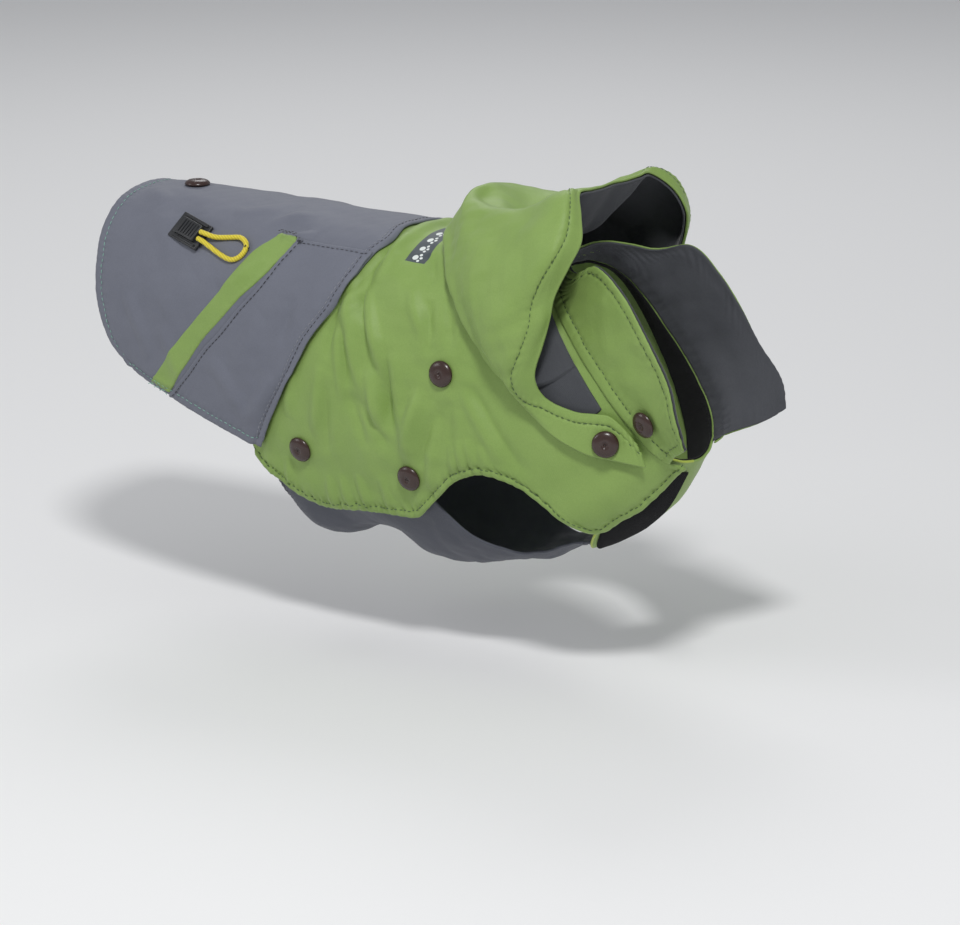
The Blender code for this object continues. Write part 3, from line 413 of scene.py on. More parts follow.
def clothMaterial(name, v):
    # Plain weave: two crossed sets of yarn on the cloth's own map, blotches of tone, a slight crinkle
    material, tree, shader = startMaterial(name, v["colour"], v["roughness"], **sheenOf(v["sheen"]))
    shader.inputs["Specular IOR Level"].default_value = v["specular"]
    place = node(tree, "ShaderNodeTexCoord")
    blotch = node(tree, "ShaderNodeTexNoise", {"Scale": v["blotch"], "Detail": 5.0, "Roughness": 0.6})
    grain = node(tree, "ShaderNodeTexNoise", {"Scale": v["grain"], "Detail": 3.0, "Roughness": 0.7})
    crinkle = node(tree, "ShaderNodeTexNoise", {"Scale": v["crinkle"], "Detail": 6.0, "Roughness": 0.62,
                                                "Distortion": 0.6})
    for noise in (blotch, grain, crinkle):
        tree.links.new(place.outputs["Object"], noise.inputs["Vector"])
    warp = node(tree, "ShaderNodeTexWave", {"Scale": v["yarns"]}, bands_direction="X")
    weft = node(tree, "ShaderNodeTexWave", {"Scale": v["yarns"]}, bands_direction="Y")
    for wave in (warp, weft):
        tree.links.new(place.outputs["UV"], wave.inputs["Vector"])
    yarn = math2(tree, "MULTIPLY", warp.outputs["Fac"], weft.outputs["Fac"])
    soft = mixColours(tree, blotch.outputs["Fac"], v["shade"], v["light"])
    grained = node(tree, "ShaderNodeMapRange", {"From Min": 0.35, "From Max": 0.70,
                                                "To Max": v["grainMix"]})
    tree.links.new(grain.outputs["Fac"], grained.inputs["Value"])
    colour = mixColours(tree, grained.outputs["Result"], soft, toned(v["shade"], 0.80))
    woven = node(tree, "ShaderNodeBump", {"Strength": v["weaveBump"], "Distance": 0.0002})
    creased = node(tree, "ShaderNodeBump", {"Strength": v["crinkleBump"], "Distance": 0.0010})
    tree.links.new(crinkle.outputs["Fac"], creased.inputs["Height"])
    tree.links.new(yarn, woven.inputs["Height"])
    tree.links.new(creased.outputs["Normal"], woven.inputs["Normal"])
    tree.links.new(woven.outputs["Normal"], shader.inputs["Normal"])
    tree.links.new(colour, shader.inputs["Base Color"])
    return material, tree, shader, colour


greenCloth = {
    "colour": (0.250, 0.375, 0.096), "shade": (0.212, 0.335, 0.076), "light": (0.278, 0.405, 0.112),
    "roughness": 0.52, "specular": 0.42, "sheen": 0.10, "blotch": 38.0, "grain": 1500.0, "grainMix": 0.35,
    "crinkle": 120.0, "yarns": 560.0, "weaveBump": 0.25, "crinkleBump": 0.30,
}
greyCloth = {
    "colour": (0.165, 0.175, 0.215), "shade": (0.140, 0.149, 0.185), "light": (0.180, 0.190, 0.232),
    "roughness": 0.62, "specular": 0.32, "sheen": 0.12, "blotch": 34.0, "grain": 1300.0, "grainMix": 0.30,
    "crinkle": 110.0, "yarns": 480.0, "weaveBump": 0.30, "crinkleBump": 0.25,
}
# the belly panel's grey, darkened to about half of the saddle's: painted shade for the shadow under the coat
bellyClothPaintedShade = dict(
    greyCloth, colour=(0.086, 0.092, 0.116), shade=(0.072, 0.077, 0.098), light=(0.096, 0.102, 0.126))
liningCloth = {
    "colour": (0.070, 0.073, 0.082), "shade": (0.058, 0.061, 0.070), "light": (0.080, 0.084, 0.094),
    "roughness": 0.70, "specular": 0.25, "sheen": 0.20, "blotch": 40.0, "grain": 1200.0, "grainMix": 0.30,
    "crinkle": 130.0, "yarns": 420.0, "weaveBump": 0.35, "crinkleBump": 0.30,
}

green = clothMaterial("green cloth", greenCloth)[0]
# darkGrey is the belly panel's grey with painted shade, darkened for the shadow under the coat
darkGrey = clothMaterial("dark grey cloth", bellyClothPaintedShade)[0]
grey = clothMaterial("grey cloth", greyCloth)[0]
lining = clothMaterial("dark grey lining", liningCloth)[0]

# The print on the yoke: a straight dark grey band with a row of small pale paw prints
pawPrint = {
    "bandBack": 0.0800, "bandHalf": 0.0062, "reach": 0.0375, "pitch": 0.0150,
    "bandColour": (0.060, 0.075, 0.085), "pawColour": (0.74, 0.78, 0.76),
    # one pad and three toes, each a small round: across, along, radius
    "paw": (
        (0.0, 0.0012, 0.0018), (0.0, -0.0024, 0.0009), (0.0022, -0.0014, 0.0009),
        (-0.0022, -0.0014, 0.0009),
    ),
}


def printedCloth(v):
    material, tree, shader, colour = clothMaterial("green cloth with a print", greenCloth)
    place = node(tree, "ShaderNodeTexCoord")
    split = node(tree, "ShaderNodeSeparateXYZ")
    tree.links.new(place.outputs["UV"], split.inputs[0])
    across, along = split.outputs["X"], math2(tree, "SUBTRACT", split.outputs["Y"], v["bandBack"])
    inBand = math2(tree, "LESS_THAN", math2(tree, "ABSOLUTE", along), v["bandHalf"])
    inReach = math2(tree, "LESS_THAN", math2(tree, "ABSOLUTE", across), v["reach"])
    band = math2(tree, "MULTIPLY", inBand, inReach)
    cell = node(tree, "ShaderNodeMath", operation="PINGPONG")
    tree.links.new(across, cell.inputs[0])
    cell.inputs[1].default_value = v["pitch"] / 2.0
    halfCell = math2(tree, "SUBTRACT", cell.outputs[0], v["pitch"] / 4.0)
    paw = None
    for x, y, radius in v["paw"]:
        dx = math2(tree, "SUBTRACT", halfCell, x)
        dy = math2(tree, "SUBTRACT", along, y)
        squares = math2(tree, "ADD", math2(tree, "MULTIPLY", dx, dx), math2(tree, "MULTIPLY", dy, dy))
        spot = math2(tree, "LESS_THAN", squares, radius**2)
        paw = spot if paw is None else math2(tree, "MAXIMUM", paw, spot)
    printed = mixColours(tree, band, colour, v["bandColour"])
    pawed = math2(tree, "MULTIPLY", paw, band)
    tree.links.new(mixColours(tree, pawed, printed, v["pawColour"]), shader.inputs["Base Color"])
    return material


printedGreen = printedCloth(pawPrint)


def tone(tree, shader, texture, low, high):
    # The texture lies on the object's own coordinates and tones its colour between the two
    place = node(tree, "ShaderNodeTexCoord")
    tree.links.new(place.outputs["Object"], texture.inputs["Vector"])
    tree.links.new(mixColours(tree, texture.outputs["Fac"], low, high), shader.inputs["Base Color"])


def raiseTexture(tree, shader, texture, strength, distance):
    bump = node(tree, "ShaderNodeBump", {"Strength": strength, "Distance": distance})
    tree.links.new(texture.outputs["Fac"], bump.inputs["Height"])
    tree.links.new(bump.outputs["Normal"], shader.inputs["Normal"])


def nappedMaterial(name, colour, scale, strength, sheen):
    # Short nap: a deep fine bump under a soft sheen
    material, tree, shader = startMaterial(name, colour, 0.95, **sheenOf(sheen, 0.6))
    shader.inputs["Specular IOR Level"].default_value = 0.12
    tuft = node(tree, "ShaderNodeTexNoise", {"Scale": scale, "Detail": 5.0, "Roughness": 0.75})
    tone(tree, shader, tuft, colour, toned(colour, 2.2))
    raiseTexture(tree, shader, tuft, strength, 0.0012)
    return material


napBlack = (0.005, 0.005, 0.006)
blackNap = nappedMaterial("black napped lining", napBlack, scale=900.0, strength=0.9, sheen=0.06)
hookAndLoop = nappedMaterial("black hook and loop", napBlack, scale=1500.0, strength=0.8, sheen=0.03)


def mouldedMaterial(name, colour, roughness, scale, strength, specular):
    # Moulded plastic: a faint speckle in its tone and face
    material, tree, shader = startMaterial(name, colour, roughness)
    shader.inputs["Specular IOR Level"].default_value = specular
    speckle = node(tree, "ShaderNodeTexNoise", {"Scale": scale, "Detail": 4.0, "Roughness": 0.6})
    tone(tree, shader, speckle, colour, toned(colour, 1.5))
    raiseTexture(tree, shader, speckle, strength, 0.0002)
    return material


snapPlastic = mouldedMaterial("dark brown snap", (0.034, 0.017, 0.014), roughness=0.26, scale=600.0,
                              strength=0.10, specular=0.55)
lockPlastic = mouldedMaterial("black plastic", (0.018, 0.019, 0.021), roughness=0.42, scale=1400.0,
                              strength=0.25, specular=0.45)


def elasticMaterial(name, colour):
    # Braided cover: slanted strands
    material, tree, shader = startMaterial(name, colour, 0.60, **sheenOf(0.2))
    strand = node(tree, "ShaderNodeTexWave", {"Scale": 260.0, "Distortion": 1.5, "Detail": 2.0},
                  bands_direction="DIAGONAL")
    tone(tree, shader, strand, toned(colour, 0.72), colour)
    raiseTexture(tree, shader, strand, 0.5, 0.0003)
    return material


yellowElastic = elasticMaterial("yellow elastic", (0.80, 0.66, 0.045))


def threadMaterial(name, colour):
    # Twisted thread: its tone changes along each stitch
    material, tree, shader = startMaterial(name, colour, 0.55, **sheenOf(0.3))
    twist = node(tree, "ShaderNodeTexNoise", {"Scale": 2200.0, "Detail": 2.0})
    tone(tree, shader, twist, toned(colour, 0.6), colour)
    return material


threads = {
    "darkGreen": threadMaterial("dark green thread", (0.060, 0.115, 0.040)),
    "teal": threadMaterial("teal thread", (0.270, 0.520, 0.420)),
    "darkGrey": threadMaterial("dark grey thread", (0.035, 0.037, 0.048)),
    "paleGrey": threadMaterial("pale grey thread", (0.300, 0.310, 0.350)),
    "black": threadMaterial("black thread", (0.010, 0.010, 0.012)),
}
print("materials made")

# Cloth pieces

def shares(count, start=0.0, stop=1.0):
    return np.linspace(start, stop, count + 1)


def gridNormals(points, turned):
    # Normals of a grid from its cells; cells with a missing corner are left out
    a, b, c, d = points[:-1, :-1], points[:-1, 1:], points[1:, 1:], points[1:, :-1]
    cell = np.cross(c - a, d - b) * (-1.0 if turned else 1.0)
    cell = np.nan_to_num(cell)
    total = np.zeros(points.shape)
    for rows in (slice(None, -1), slice(1, None)):
        for columns in (slice(None, -1), slice(1, None)):
            total[rows, columns] += cell
    return unit(total)


def edgeDistance(points):
    # Metres from the front, rear, right and left side of a grid, along its rows and columns
    down = np.nan_to_num(np.linalg.norm(np.diff(points, axis=0), axis=-1))
    over = np.nan_to_num(np.linalg.norm(np.diff(points, axis=1), axis=-1))
    front = np.vstack((np.zeros((1, points.shape[1])), np.cumsum(down, axis=0)))
    right = np.hstack((np.zeros((points.shape[0], 1)), np.cumsum(over, axis=1)))
    return {"front": front, "rear": front[-1:] - front, "right": right, "left": right[:, -1:] - right}


sewing = {"length": 0.0024, "gap": 0.0009, "thread": 0.00026, "lift": 0.00012, "tackLength": 0.0016,
          "tackLift": 0.0003, "weltTackLift": 0.0007, "wrapLength": 0.0012,
          "seed": 4, "least": 0.86, "most": 1.08}
seamShape = {"sink": 0.0006, "sinkWidth": 0.0011, "pucker": 0.0003, "puckerWidth": 0.0042,
             "puckerPitch": 0.0050, "wander": 2.6, "wanderRate": 170.0, "hem": 0.0003, "hemAt": 0.55,
             "hemWidth": 0.45}


def seamRelief(points, seams):
    # A stitched line sinks in, and the folded hem beside it puckers
    v = seamShape
    distance = edgeDistance(points)
    height = np.zeros(points.shape[:2])
    for seam in seams:
        away, inset = distance[seam["side"]], seam["inset"]
        along = distance["right" if seam["side"] in ("front", "rear") else "front"]
        wander = v["wander"] * np.sin(along * v["wanderRate"])
        wave = np.sin(along / v["puckerPitch"] * 2.0 * np.pi + wander)
        hem = np.exp(-(((away - inset * v["hemAt"]) / (inset * v["hemWidth"])) ** 2))
        sunk = np.exp(-(((away - inset) / v["sinkWidth"]) ** 2))
        puckered = np.exp(-(((away - inset) / v["puckerWidth"]) ** 2))
        height -= seam.get("sink", v["sink"]) * sunk
        height += seam.get("pucker", v["pucker"]) * wave * puckered
        height += v["hem"] * hem
    return height


def insetLine(points, normals, seam, seams):
    # The stitched line itself, at its inset from one side, cut off where another seam crosses it
    distance = edgeDistance(points)
    side, inset = seam["side"], seam["inset"]
    turned = side in ("right", "left")
    away = distance[side]
    grid, outward = points, normals
    others = {k: distance[k] for k in {s["side"] for s in seams} if k != side}
    if turned:
        away, grid, outward = away.T, grid.transpose(1, 0, 2), outward.transpose(1, 0, 2)
        others = {k: d.T for k, d in others.items()}
    if side in ("rear", "left"):
        away, grid, outward = away[::-1], grid[::-1], outward[::-1]
        others = {k: d[::-1] for k, d in others.items()}
    line = []
    count = grid.shape[1]
    insets = np.broadcast_to(inset, (count,))
    for c in range(count):
        if c / (count - 1) < seam.get("start", 0.0):
            continue
        row = int(np.searchsorted(away[:, c], insets[c]))
        if row == 0 or row >= len(away):
            continue
        f = (insets[c] - away[row - 1, c]) / max(away[row, c] - away[row - 1, c], 1e-9)
        if any(d[row, c] < insets[c] for d in others.values()):
            continue
        point = grid[row - 1, c] * (1 - f) + grid[row, c] * f
        if np.isfinite(point).all():
            line.append(point + outward[row, c] * sewing["lift"])
    return line


stitchLines = {name: [] for name in threads}
cutSizes = {}


def clothPiece(name, points, thick, material, turned=False, seams=(), keep=None, uv=None, taper=None):
    # A thin closed wall: "points" is its inner face, and it is as thick as the cloth
    points = points.copy()
    normals = gridNormals(points, turned)
    points += normals * seamRelief(points, seams)[..., None]
    normals = gridNormals(points, turned)
    depth = np.full(points.shape[:2], thick) if taper is None else thick + taper
    outer = points + normals * depth[..., None]
    rows, columns = points.shape[0] - 1, points.shape[1] - 1
    if keep is None:
        keep = np.ones((rows, columns), bool)
    whole = np.isfinite(points).all(-1)
    keep = keep & whole[:-1, :-1] & whole[1:, :-1] & whole[:-1, 1:] & whole[1:, 1:]
    number = np.arange((rows + 1) * (columns + 1)).reshape(rows + 1, columns + 1)
    quads = np.stack((number[:-1, :-1], number[:-1, 1:], number[1:, 1:], number[1:, :-1]), -1)[keep]
    if turned:
        quads = quads[:, ::-1]
    total = number.size
    edges = np.concatenate([quads[:, [k, (k + 1) % 4]] for k in range(4)])
    centres = np.repeat(points.reshape(-1, 3)[quads].mean(1)[None], 4, 0).reshape(-1, 3)
    keys = np.sort(edges, axis=1) @ np.array((total, 1))
    _, firstSeen, seen = np.unique(keys, return_index=True, return_counts=True)
    border = firstSeen[seen == 1]
    rim = edges[border]
    # the folded edge is rounded: a middle row of points stands a little outside
    push = np.zeros((total, 3))
    middleOf = points.reshape(-1, 3)[rim].mean(1)
    outward = unit(middleOf - centres[border])
    for k in range(2):
        np.add.at(push, rim[:, k], outward)
    flatInner, flatOuter = points.reshape(-1, 3), outer.reshape(-1, 3)
    middle = (flatInner + flatOuter) / 2.0 + unit(push) * thick * layers["roundEdge"]
    verts = np.concatenate((flatOuter, flatInner, middle))
    faces = np.concatenate((
        quads,
        quads[:, ::-1] + total,
        np.stack((rim[:, 1], rim[:, 0], rim[:, 0] + 2 * total, rim[:, 1] + 2 * total), -1),
        np.stack((rim[:, 1] + 2 * total, rim[:, 0] + 2 * total, rim[:, 0] + total, rim[:, 1] + total), -1),
    ))
    # only the points that some face uses go into the mesh
    used, faces = np.unique(faces, return_inverse=True)
    faces = faces.reshape(-1, 4)
    mesh = bpy.data.meshes.new(name)
    mesh.from_pydata(verts[used].tolist(), [], faces.tolist())
    if uv is None:
        distance = edgeDistance(points)
        uv = np.stack((distance["right"], distance["front"]), -1)
    flatUv = np.tile(uv.reshape(-1, 2), (3, 1))[used]
    layer = mesh.uv_layers.new(name="clothMap")
    corner = np.zeros(len(mesh.loops), np.int32)
    mesh.loops.foreach_get("vertex_index", corner)
    layer.data.foreach_set("uv", flatUv[corner].astype(np.float32).ravel())
    mesh.shade_smooth()
    mesh.materials.append(material)
    piece = addToScene(name, mesh)
    for seam in seams:
        if "thread" in seam:
            line = insetLine(outer, normals, seam, seams)
            if len(line) > 2:
                stitchLines[seam["thread"]].append((line, sewing["length"]))
    measured = edgeDistance(points)
    area = sum(p.area for p in mesh.polygons) / 2.0
    cutSizes[name] = (float(measured["right"][:, -1].max()), float(measured["front"][-1].max()), area)
    print(name, len(mesh.polygons), "faces, flat size", [round(x, 4) for x in cutSizes[name]])
    return piece


def dress(piece, nodeName):
    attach(piece, "root")
    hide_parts(nodeName)


# The body: lower edge of one side, from the chest opening round the armhole and along the hem
bodyLowerEdge = (
    (0.0000, 165.0), (0.0040, 160.5), (0.0080, 156.5), (0.0130, 153.5), (0.0190, 153.0), (0.0215, 146.0),
    (0.0245, 138.0), (0.0280, 130.0), (0.0325, 123.0), (0.0395, 118.0), (0.0460, 115.8), (0.0530, 116.8),
    (0.0605, 120.0), (0.0680, 125.5), (0.0760, 131.7), (0.0820, 136.3), (0.0870, 137.8), (0.1010, 139.0),
    (0.1190, 140.5), (0.1450, 144.5), (0.1580, 142.5), (0.1710, 137.5), (0.1840, 134.0), (0.1890, 129.0),
)
body = {"rows": 150, "columns": 250, "rowPower": 1.30, "rearBack": 0.1890, "rearDeg": 129.0,
        "underSaddle": 0.009, "cornerShare": 0.80, "cornerOver": 0.13, "hem": 0.0042,
        "flapColumns": 40, "flapRows": 0.1667, "flapEnd": 214.0, "dip": 0.012}


def bodyRear(share):
    # It ends a little under the saddle's front edge, and at its corners runs on to the saddle's hem
    under = smoothLine(saddleFrontEdge, body["rearDeg"] * share, 1, 0) + body["underSaddle"]
    corner = smoothstep((share - body["cornerShare"]) / body["cornerOver"])
    return under + (body["rearBack"] - under) * corner


def bodyPlaces(v, u):
    v, u = np.meshgrid(v, u, indexing="ij")
    share = 2.0 * u - 1.0
    back = bodyRear(np.abs(share)) * v ** body["rowPower"]
    deg = share * smoothLine(bodyLowerEdge, back)
    return back, deg


def flapPlaces(v, e):
    # The left flap runs on from the body's left edge, under the right one
    edgeBack = body["rearBack"] * v ** body["rowPower"]
    start = smoothLine(bodyLowerEdge, edgeBack)
    v, e = np.meshgrid(v, e, indexing="ij")
    edgeBack, start = edgeBack[:, None], start[:, None]
    deg = start + (body["flapEnd"] - start) * e
    arch = np.sin(np.pi * np.minimum((deg - start) / (360.0 - 2.0 * start), 1.0))
    return edgeBack + body["dip"] * (v / body["flapRows"]) ** 2 * arch, deg


def bodySheet(v, u, e):
    # Back and deg of the body with its left flap; the flap is missing below its own rows
    back, deg = bodyPlaces(v, u)
    flapBack, flapDeg = flapPlaces(v, e)
    missing = v > body["flapRows"] + 1e-6
    flapBack[missing], flapDeg[missing] = np.nan, np.nan
    return np.hstack((back, flapBack)), np.hstack((deg, flapDeg))


back, deg = bodySheet(shares(body["rows"]), shares(body["columns"]), shares(body["flapColumns"])[1:])
points = formPoint(back, deg, flapLift(deg))
bodySeams = [
    {"side": "right", "inset": body["hem"], "thread": "darkGreen", "sink": 0.0008, "pucker": 0.00070},
]
bodyPiece = clothPiece("body_cloth", points, cloth, printedGreen, seams=bodySeams,
                       uv=np.stack((deg * perDeg, back), -1))
dress(bodyPiece, "body")

# Sewing of the left side, from where the flap ends, on a line drawn through the same grid
leftColumns = body["columns"] + 1
leftLine = points[:, :leftColumns]
leftNormals = gridNormals(leftLine, False)
leftSeam = {"side": "left", "inset": body["hem"], "start": body["flapRows"]}
stitchLines["darkGreen"].append(
    (insetLine(leftLine + leftNormals * cloth, leftNormals, leftSeam, [leftSeam]), sewing["length"]))

# The black nap inside the neck: how far down the body it reaches, and where it starts and ends round it
neckNap = {"rows": 15, "depth": 0.1, "start": 0.05, "columns": 179, "flapEnd": 0.88, "flapColumns": 29}
back, deg = bodySheet(shares(neckNap["rows"], 0.0, neckNap["depth"]),
                      shares(neckNap["columns"], neckNap["start"]),
                      shares(neckNap["flapColumns"], neckNap["start"], neckNap["flapEnd"]))
nap = clothPiece("neck_nap", formPoint(back, deg, flapLift(deg) - trimLayer), trim, blackNap)
dress(nap, "neck_lining")

# The two closing strips: the loops on the left flap, the hooks inside the right one
strips = {"rows": 13, "start": 1.0 / 30.0, "end": 0.1600, "loopStart": 3.0 / 7.0, "loopColumns": 39,
          "hookStart": 0.001, "hookEnd": 1.0 / 38.0, "hookColumns": 7}
stripV = shares(strips["rows"], strips["start"], strips["end"])
back, deg = flapPlaces(stripV, shares(strips["loopColumns"], strips["loopStart"]))
loopStrip = clothPiece("loop_strip", formPoint(back, deg, cloth + gap), trim, hookAndLoop)
dress(loopStrip, "closure_loop")
back, deg = bodyPlaces(stripV, shares(strips["hookColumns"], strips["hookStart"], strips["hookEnd"]))
hookStrip = clothPiece("hook_strip", formPoint(back, deg, flapLift(deg) - trimLayer), trim, hookAndLoop)
dress(hookStrip, "closure_hook")

# The saddle, its pocket and the pocket's green welt
saddleSideHem = ((0.1885, 122.5), (0.2260, 116.5), (0.2560, 111.5), (0.2900, 107.0))
saddleRearHem = ((0.00, 0.2980), (0.30, 0.3020), (0.55, 0.3060), (0.75, 0.3080), (0.88, 0.3050),
                 (0.95, 0.2980), (1.00, 0.2860))
saddle = {"rows": 120, "columns": 240, "sideDeg": 122.5, "edgeStitch": 0.0040, "edgeStitchInner": 0.0062,
          "hem": 0.0050}


def saddlePlaces(v, u):
    v, u = np.meshgrid(v, u, indexing="ij")
    share = 2.0 * u - 1.0
    side = np.abs(share)
    front = smoothLine(saddleFrontEdge, saddle["sideDeg"] * side, 1, 0)
    back = front + (smoothLine(saddleRearHem, side) - front) * v
    return back, share * smoothLine(saddleSideHem, back)


back, deg = saddlePlaces(shares(saddle["rows"]), shares(saddle["columns"]))
saddleSeams = [
    {"side": "front", "inset": saddle["edgeStitch"], "thread": "darkGrey", "pucker": 0.0001},
    {"side": "front", "inset": saddle["edgeStitchInner"], "thread": "paleGrey", "pucker": 0.0,
     "sink": 0.0003},
]
saddleSeams += [{"side": side, "inset": saddle["hem"], "thread": "teal", "pucker": 0.00025}
                for side in ("rear", "right", "left")]
saddlePiece = clothPiece("saddle_cloth", formPoint(back, deg, saddleOut), cloth, grey, seams=saddleSeams)
dress(saddlePiece, "saddle")

pocketMouth = ((0.1598, 31.8), (0.1635, 39.5), (0.1755, 54.0), (0.1900, 65.0), (0.2030, 75.3),
               (0.2175, 85.6), (0.2310, 97.0), (0.2485, 111.5))
weltRearEdge = ((0.1740, 29.4), (0.1795, 35.7), (0.1855, 42.1), (0.1905, 49.2), (0.1995, 59.1),
                (0.2115, 69.8), (0.2355, 88.2), (0.2635, 109.8))
pocket = {"rows": 90, "columns": 70, "mouthStitch": 0.0022, "topStitch": 0.0018}
welt = {"rows": 110, "columns": 18, "crown": 0.0011, "rearStitch": 0.0045, "frontStitch": 0.0016,
        "topHem": 0.0010}


def degAlong(edge, share):
    return edge[0][1] + (edge[-1][1] - edge[0][1]) * share


def pocketPlaces(v, u):
    v, u = np.meshgrid(v, u, indexing="ij")
    top = pocketMouth[0][1]
    roundDeg = degAlong(pocketMouth, v)
    mouth = smoothLine(pocketMouth, roundDeg, 1, 0) - gap
    front = smoothLine(saddleFrontEdge, roundDeg, 1, 0)
    back = mouth + (front - mouth) * u
    hem = smoothLine(saddleSideHem, back)
    return back, -(top + (hem - top) * v)


def weltPlaces(v, u):
    v, u = np.meshgrid(v, u, indexing="ij")
    mouthDeg, rearDeg = degAlong(pocketMouth, v), degAlong(weltRearEdge, v)
    mouth = smoothLine(pocketMouth, mouthDeg, 1, 0)
    rear = smoothLine(weltRearEdge, rearDeg, 1, 0)
    return mouth + (rear - mouth) * u, -(mouthDeg + (rearDeg - mouthDeg) * u)


back, deg = pocketPlaces(shares(pocket["rows"]), shares(pocket["columns"]))
pocketSeams = [
    # the black row along the pocket's mouth is a seam, and its black also stands for the shade in the recess
    # beside the welt: partly painted shade
    {"side": "right", "inset": pocket["mouthStitch"], "thread": "black", "pucker": 0.0001},
    {"side": "rear", "inset": saddle["hem"], "thread": "teal", "pucker": 0.0002},
    {"side": "left", "inset": saddle["edgeStitch"], "thread": "darkGrey", "pucker": 0.0001},
    {"side": "left", "inset": saddle["edgeStitchInner"], "thread": "paleGrey", "pucker": 0.0,
     "sink": 0.0003},
    {"side": "front", "inset": pocket["topStitch"], "thread": "darkGrey", "pucker": 0.0001},
]
pocketPiece = clothPiece("pocket_cloth", formPoint(back, deg, saddleFace + gap), trim, grey, turned=True,
                         seams=pocketSeams)
dress(pocketPiece, "pocket")

across = shares(welt["columns"])
back, deg = weltPlaces(shares(welt["rows"]), across)
crown = welt["crown"] * np.sin(np.pi * across)[None] ** 0.5 * np.ones((welt["rows"] + 1, 1))
weltSeams = [
    {"side": "rear", "inset": welt["rearStitch"], "thread": "darkGreen", "pucker": 0.0},
    {"side": "front", "inset": welt["frontStitch"], "thread": "black", "pucker": 0.0},
    {"side": "right", "inset": welt["topHem"], "pucker": 0.0001, "sink": 0.0004},
]
weltPiece = clothPiece("welt_cloth", formPoint(back, deg, saddleFace + gap), cloth, green, turned=True,
                       seams=weltSeams, taper=crown)
dress(weltPiece, "welt")

# The belly panel, with its tongue between the forelegs: back, half width in deg, sag
bellyRows = (
    (0.1830, 48.0, 0.0020), (0.1760, 60.0, 0.0120), (0.1660, 67.0, 0.0165), (0.1520, 69.0, 0.0135),
    (0.1400, 69.0, 0.0060), (0.1290, 69.0, 0.0030), (0.1160, 69.0, 0.0035), (0.1050, 69.0, 0.0090),
    (0.0940, 68.0, 0.0135), (0.0840, 65.0, 0.0125), (0.0740, 50.0, 0.0100), (0.0640, 34.0, 0.0080),
    (0.0530, 22.0, 0.0060), (0.0430, 16.0, 0.0035), (0.0360, 14.0, 0.0000), (0.0270, 13.0, 0.0000),
)
belly = {"rows": 150, "columns": 120, "hem": 0.0050, "clearDeg": 4.0, "openDeg": 42.0, "hangPower": 1.5,
         "sway": 0.0011, "swaySize": 0.016, "crinkle": 0.0003, "crinkleSize": 0.007}


def numberedRows(table):
    # Its rows by their share of the way through it
    return [(i / (len(table) - 1), *row) for i, row in enumerate(table)]


def bellySurface(v, u):
    v, u = np.meshgrid(v, u, indexing="ij")
    back, half, sag = np.moveaxis(hermite(numberedRows(bellyRows), v), -1, 0)
    deg = 180.0 + half * (2.0 * u - 1.0)
    # between the body's lower edges it hangs free
    openHalf = np.minimum(180.0 - smoothLine(bodyLowerEdge, back) - belly["clearDeg"], belly["openDeg"])
    hang = np.cos(np.pi / 2.0 * np.minimum(np.abs(deg - 180.0) / openHalf, 1.0)) ** belly["hangPower"]
    # under the body it takes the troughs of the body's cloth and none of its ridges
    followed = np.minimum(relief(back, deg), 0.0) * (1.0 - hang)
    spot = bareForm(back, deg)
    free = hang * (belly["sway"] * ripple(spot, belly["swaySize"], 11)
                   + belly["crinkle"] * ripple(spot, belly["crinkleSize"], 12))
    out = -(cloth + layers["underGap"]) + np.maximum(sag, 0.0) * hang + followed + free
    return spot + formNormal(back, deg) * out[..., None]


bellySeams = [{"side": side, "inset": belly["hem"], "thread": "darkGrey", "pucker": 0.0003}
              for side in ("front", "rear")]
# its material is the grey with painted shade
bellyPiece = clothPiece("belly_cloth", bellySurface(shares(belly["rows"]), shares(belly["columns"])), cloth,
                        darkGrey, turned=True, seams=bellySeams)
dress(bellyPiece, "belly_panel")
print("body, saddle and belly panel made")

# The collar: its seam's angle, and where its top edge stands (back, deg, out)
collarRibs = (
    (-153.0, -0.028, -143.0, 0.0225), (-140.0, -0.036, -133.0, 0.0190), (-124.0, -0.044, -119.0, 0.0130),
    (-102.0, -0.047, -96.0, 0.0090), (-78.0, -0.047, -74.0, 0.0070), (-56.0, -0.040, -53.0, 0.0065),
    (-44.0, -0.022, -42.0, 0.0045), (0.0, -0.014, 0.0, 0.0030), (44.0, -0.022, 42.0, 0.0045),
    (62.0, -0.040, 58.0, 0.0080), (84.0, -0.043, 78.0, 0.0090), (108.0, -0.042, 98.0, 0.0100),
    (130.0, -0.036, 115.0, 0.0170), (146.0, -0.030, 128.0, 0.0290), (157.0, -0.024, 137.0, 0.0330),
)
collar = {"rows": 44, "columns": 260, "seamBack": -0.0006, "seamOut": 0.0012, "flare": 1.4, "sway": 0.0006,
          "swaySize": 0.020, "topStitch": 0.0050, "standStitch": 0.0060}


def collarSurface(v, u, detail=True):
    v, u = np.meshgrid(v, u, indexing="ij")
    seamDeg, topBack, topDeg, topOut = np.moveaxis(hermite(numberedRows(collarRibs), u), -1, 0)
    back = collar["seamBack"] + (topBack - collar["seamBack"]) * v
    deg = seamDeg + (topDeg - seamDeg) * v
    out = collar["seamOut"] + flapLift(seamDeg) * (1.0 - v) + topOut * v ** collar["flare"]
    if detail:
        sway = collar["sway"] * ripple(bareForm(back, deg), collar["swaySize"], 21)
        out = out + sway * np.sin(np.pi * np.clip(v, 0, 1)) ** 0.5
    return formPoint(back, deg, out, detail)


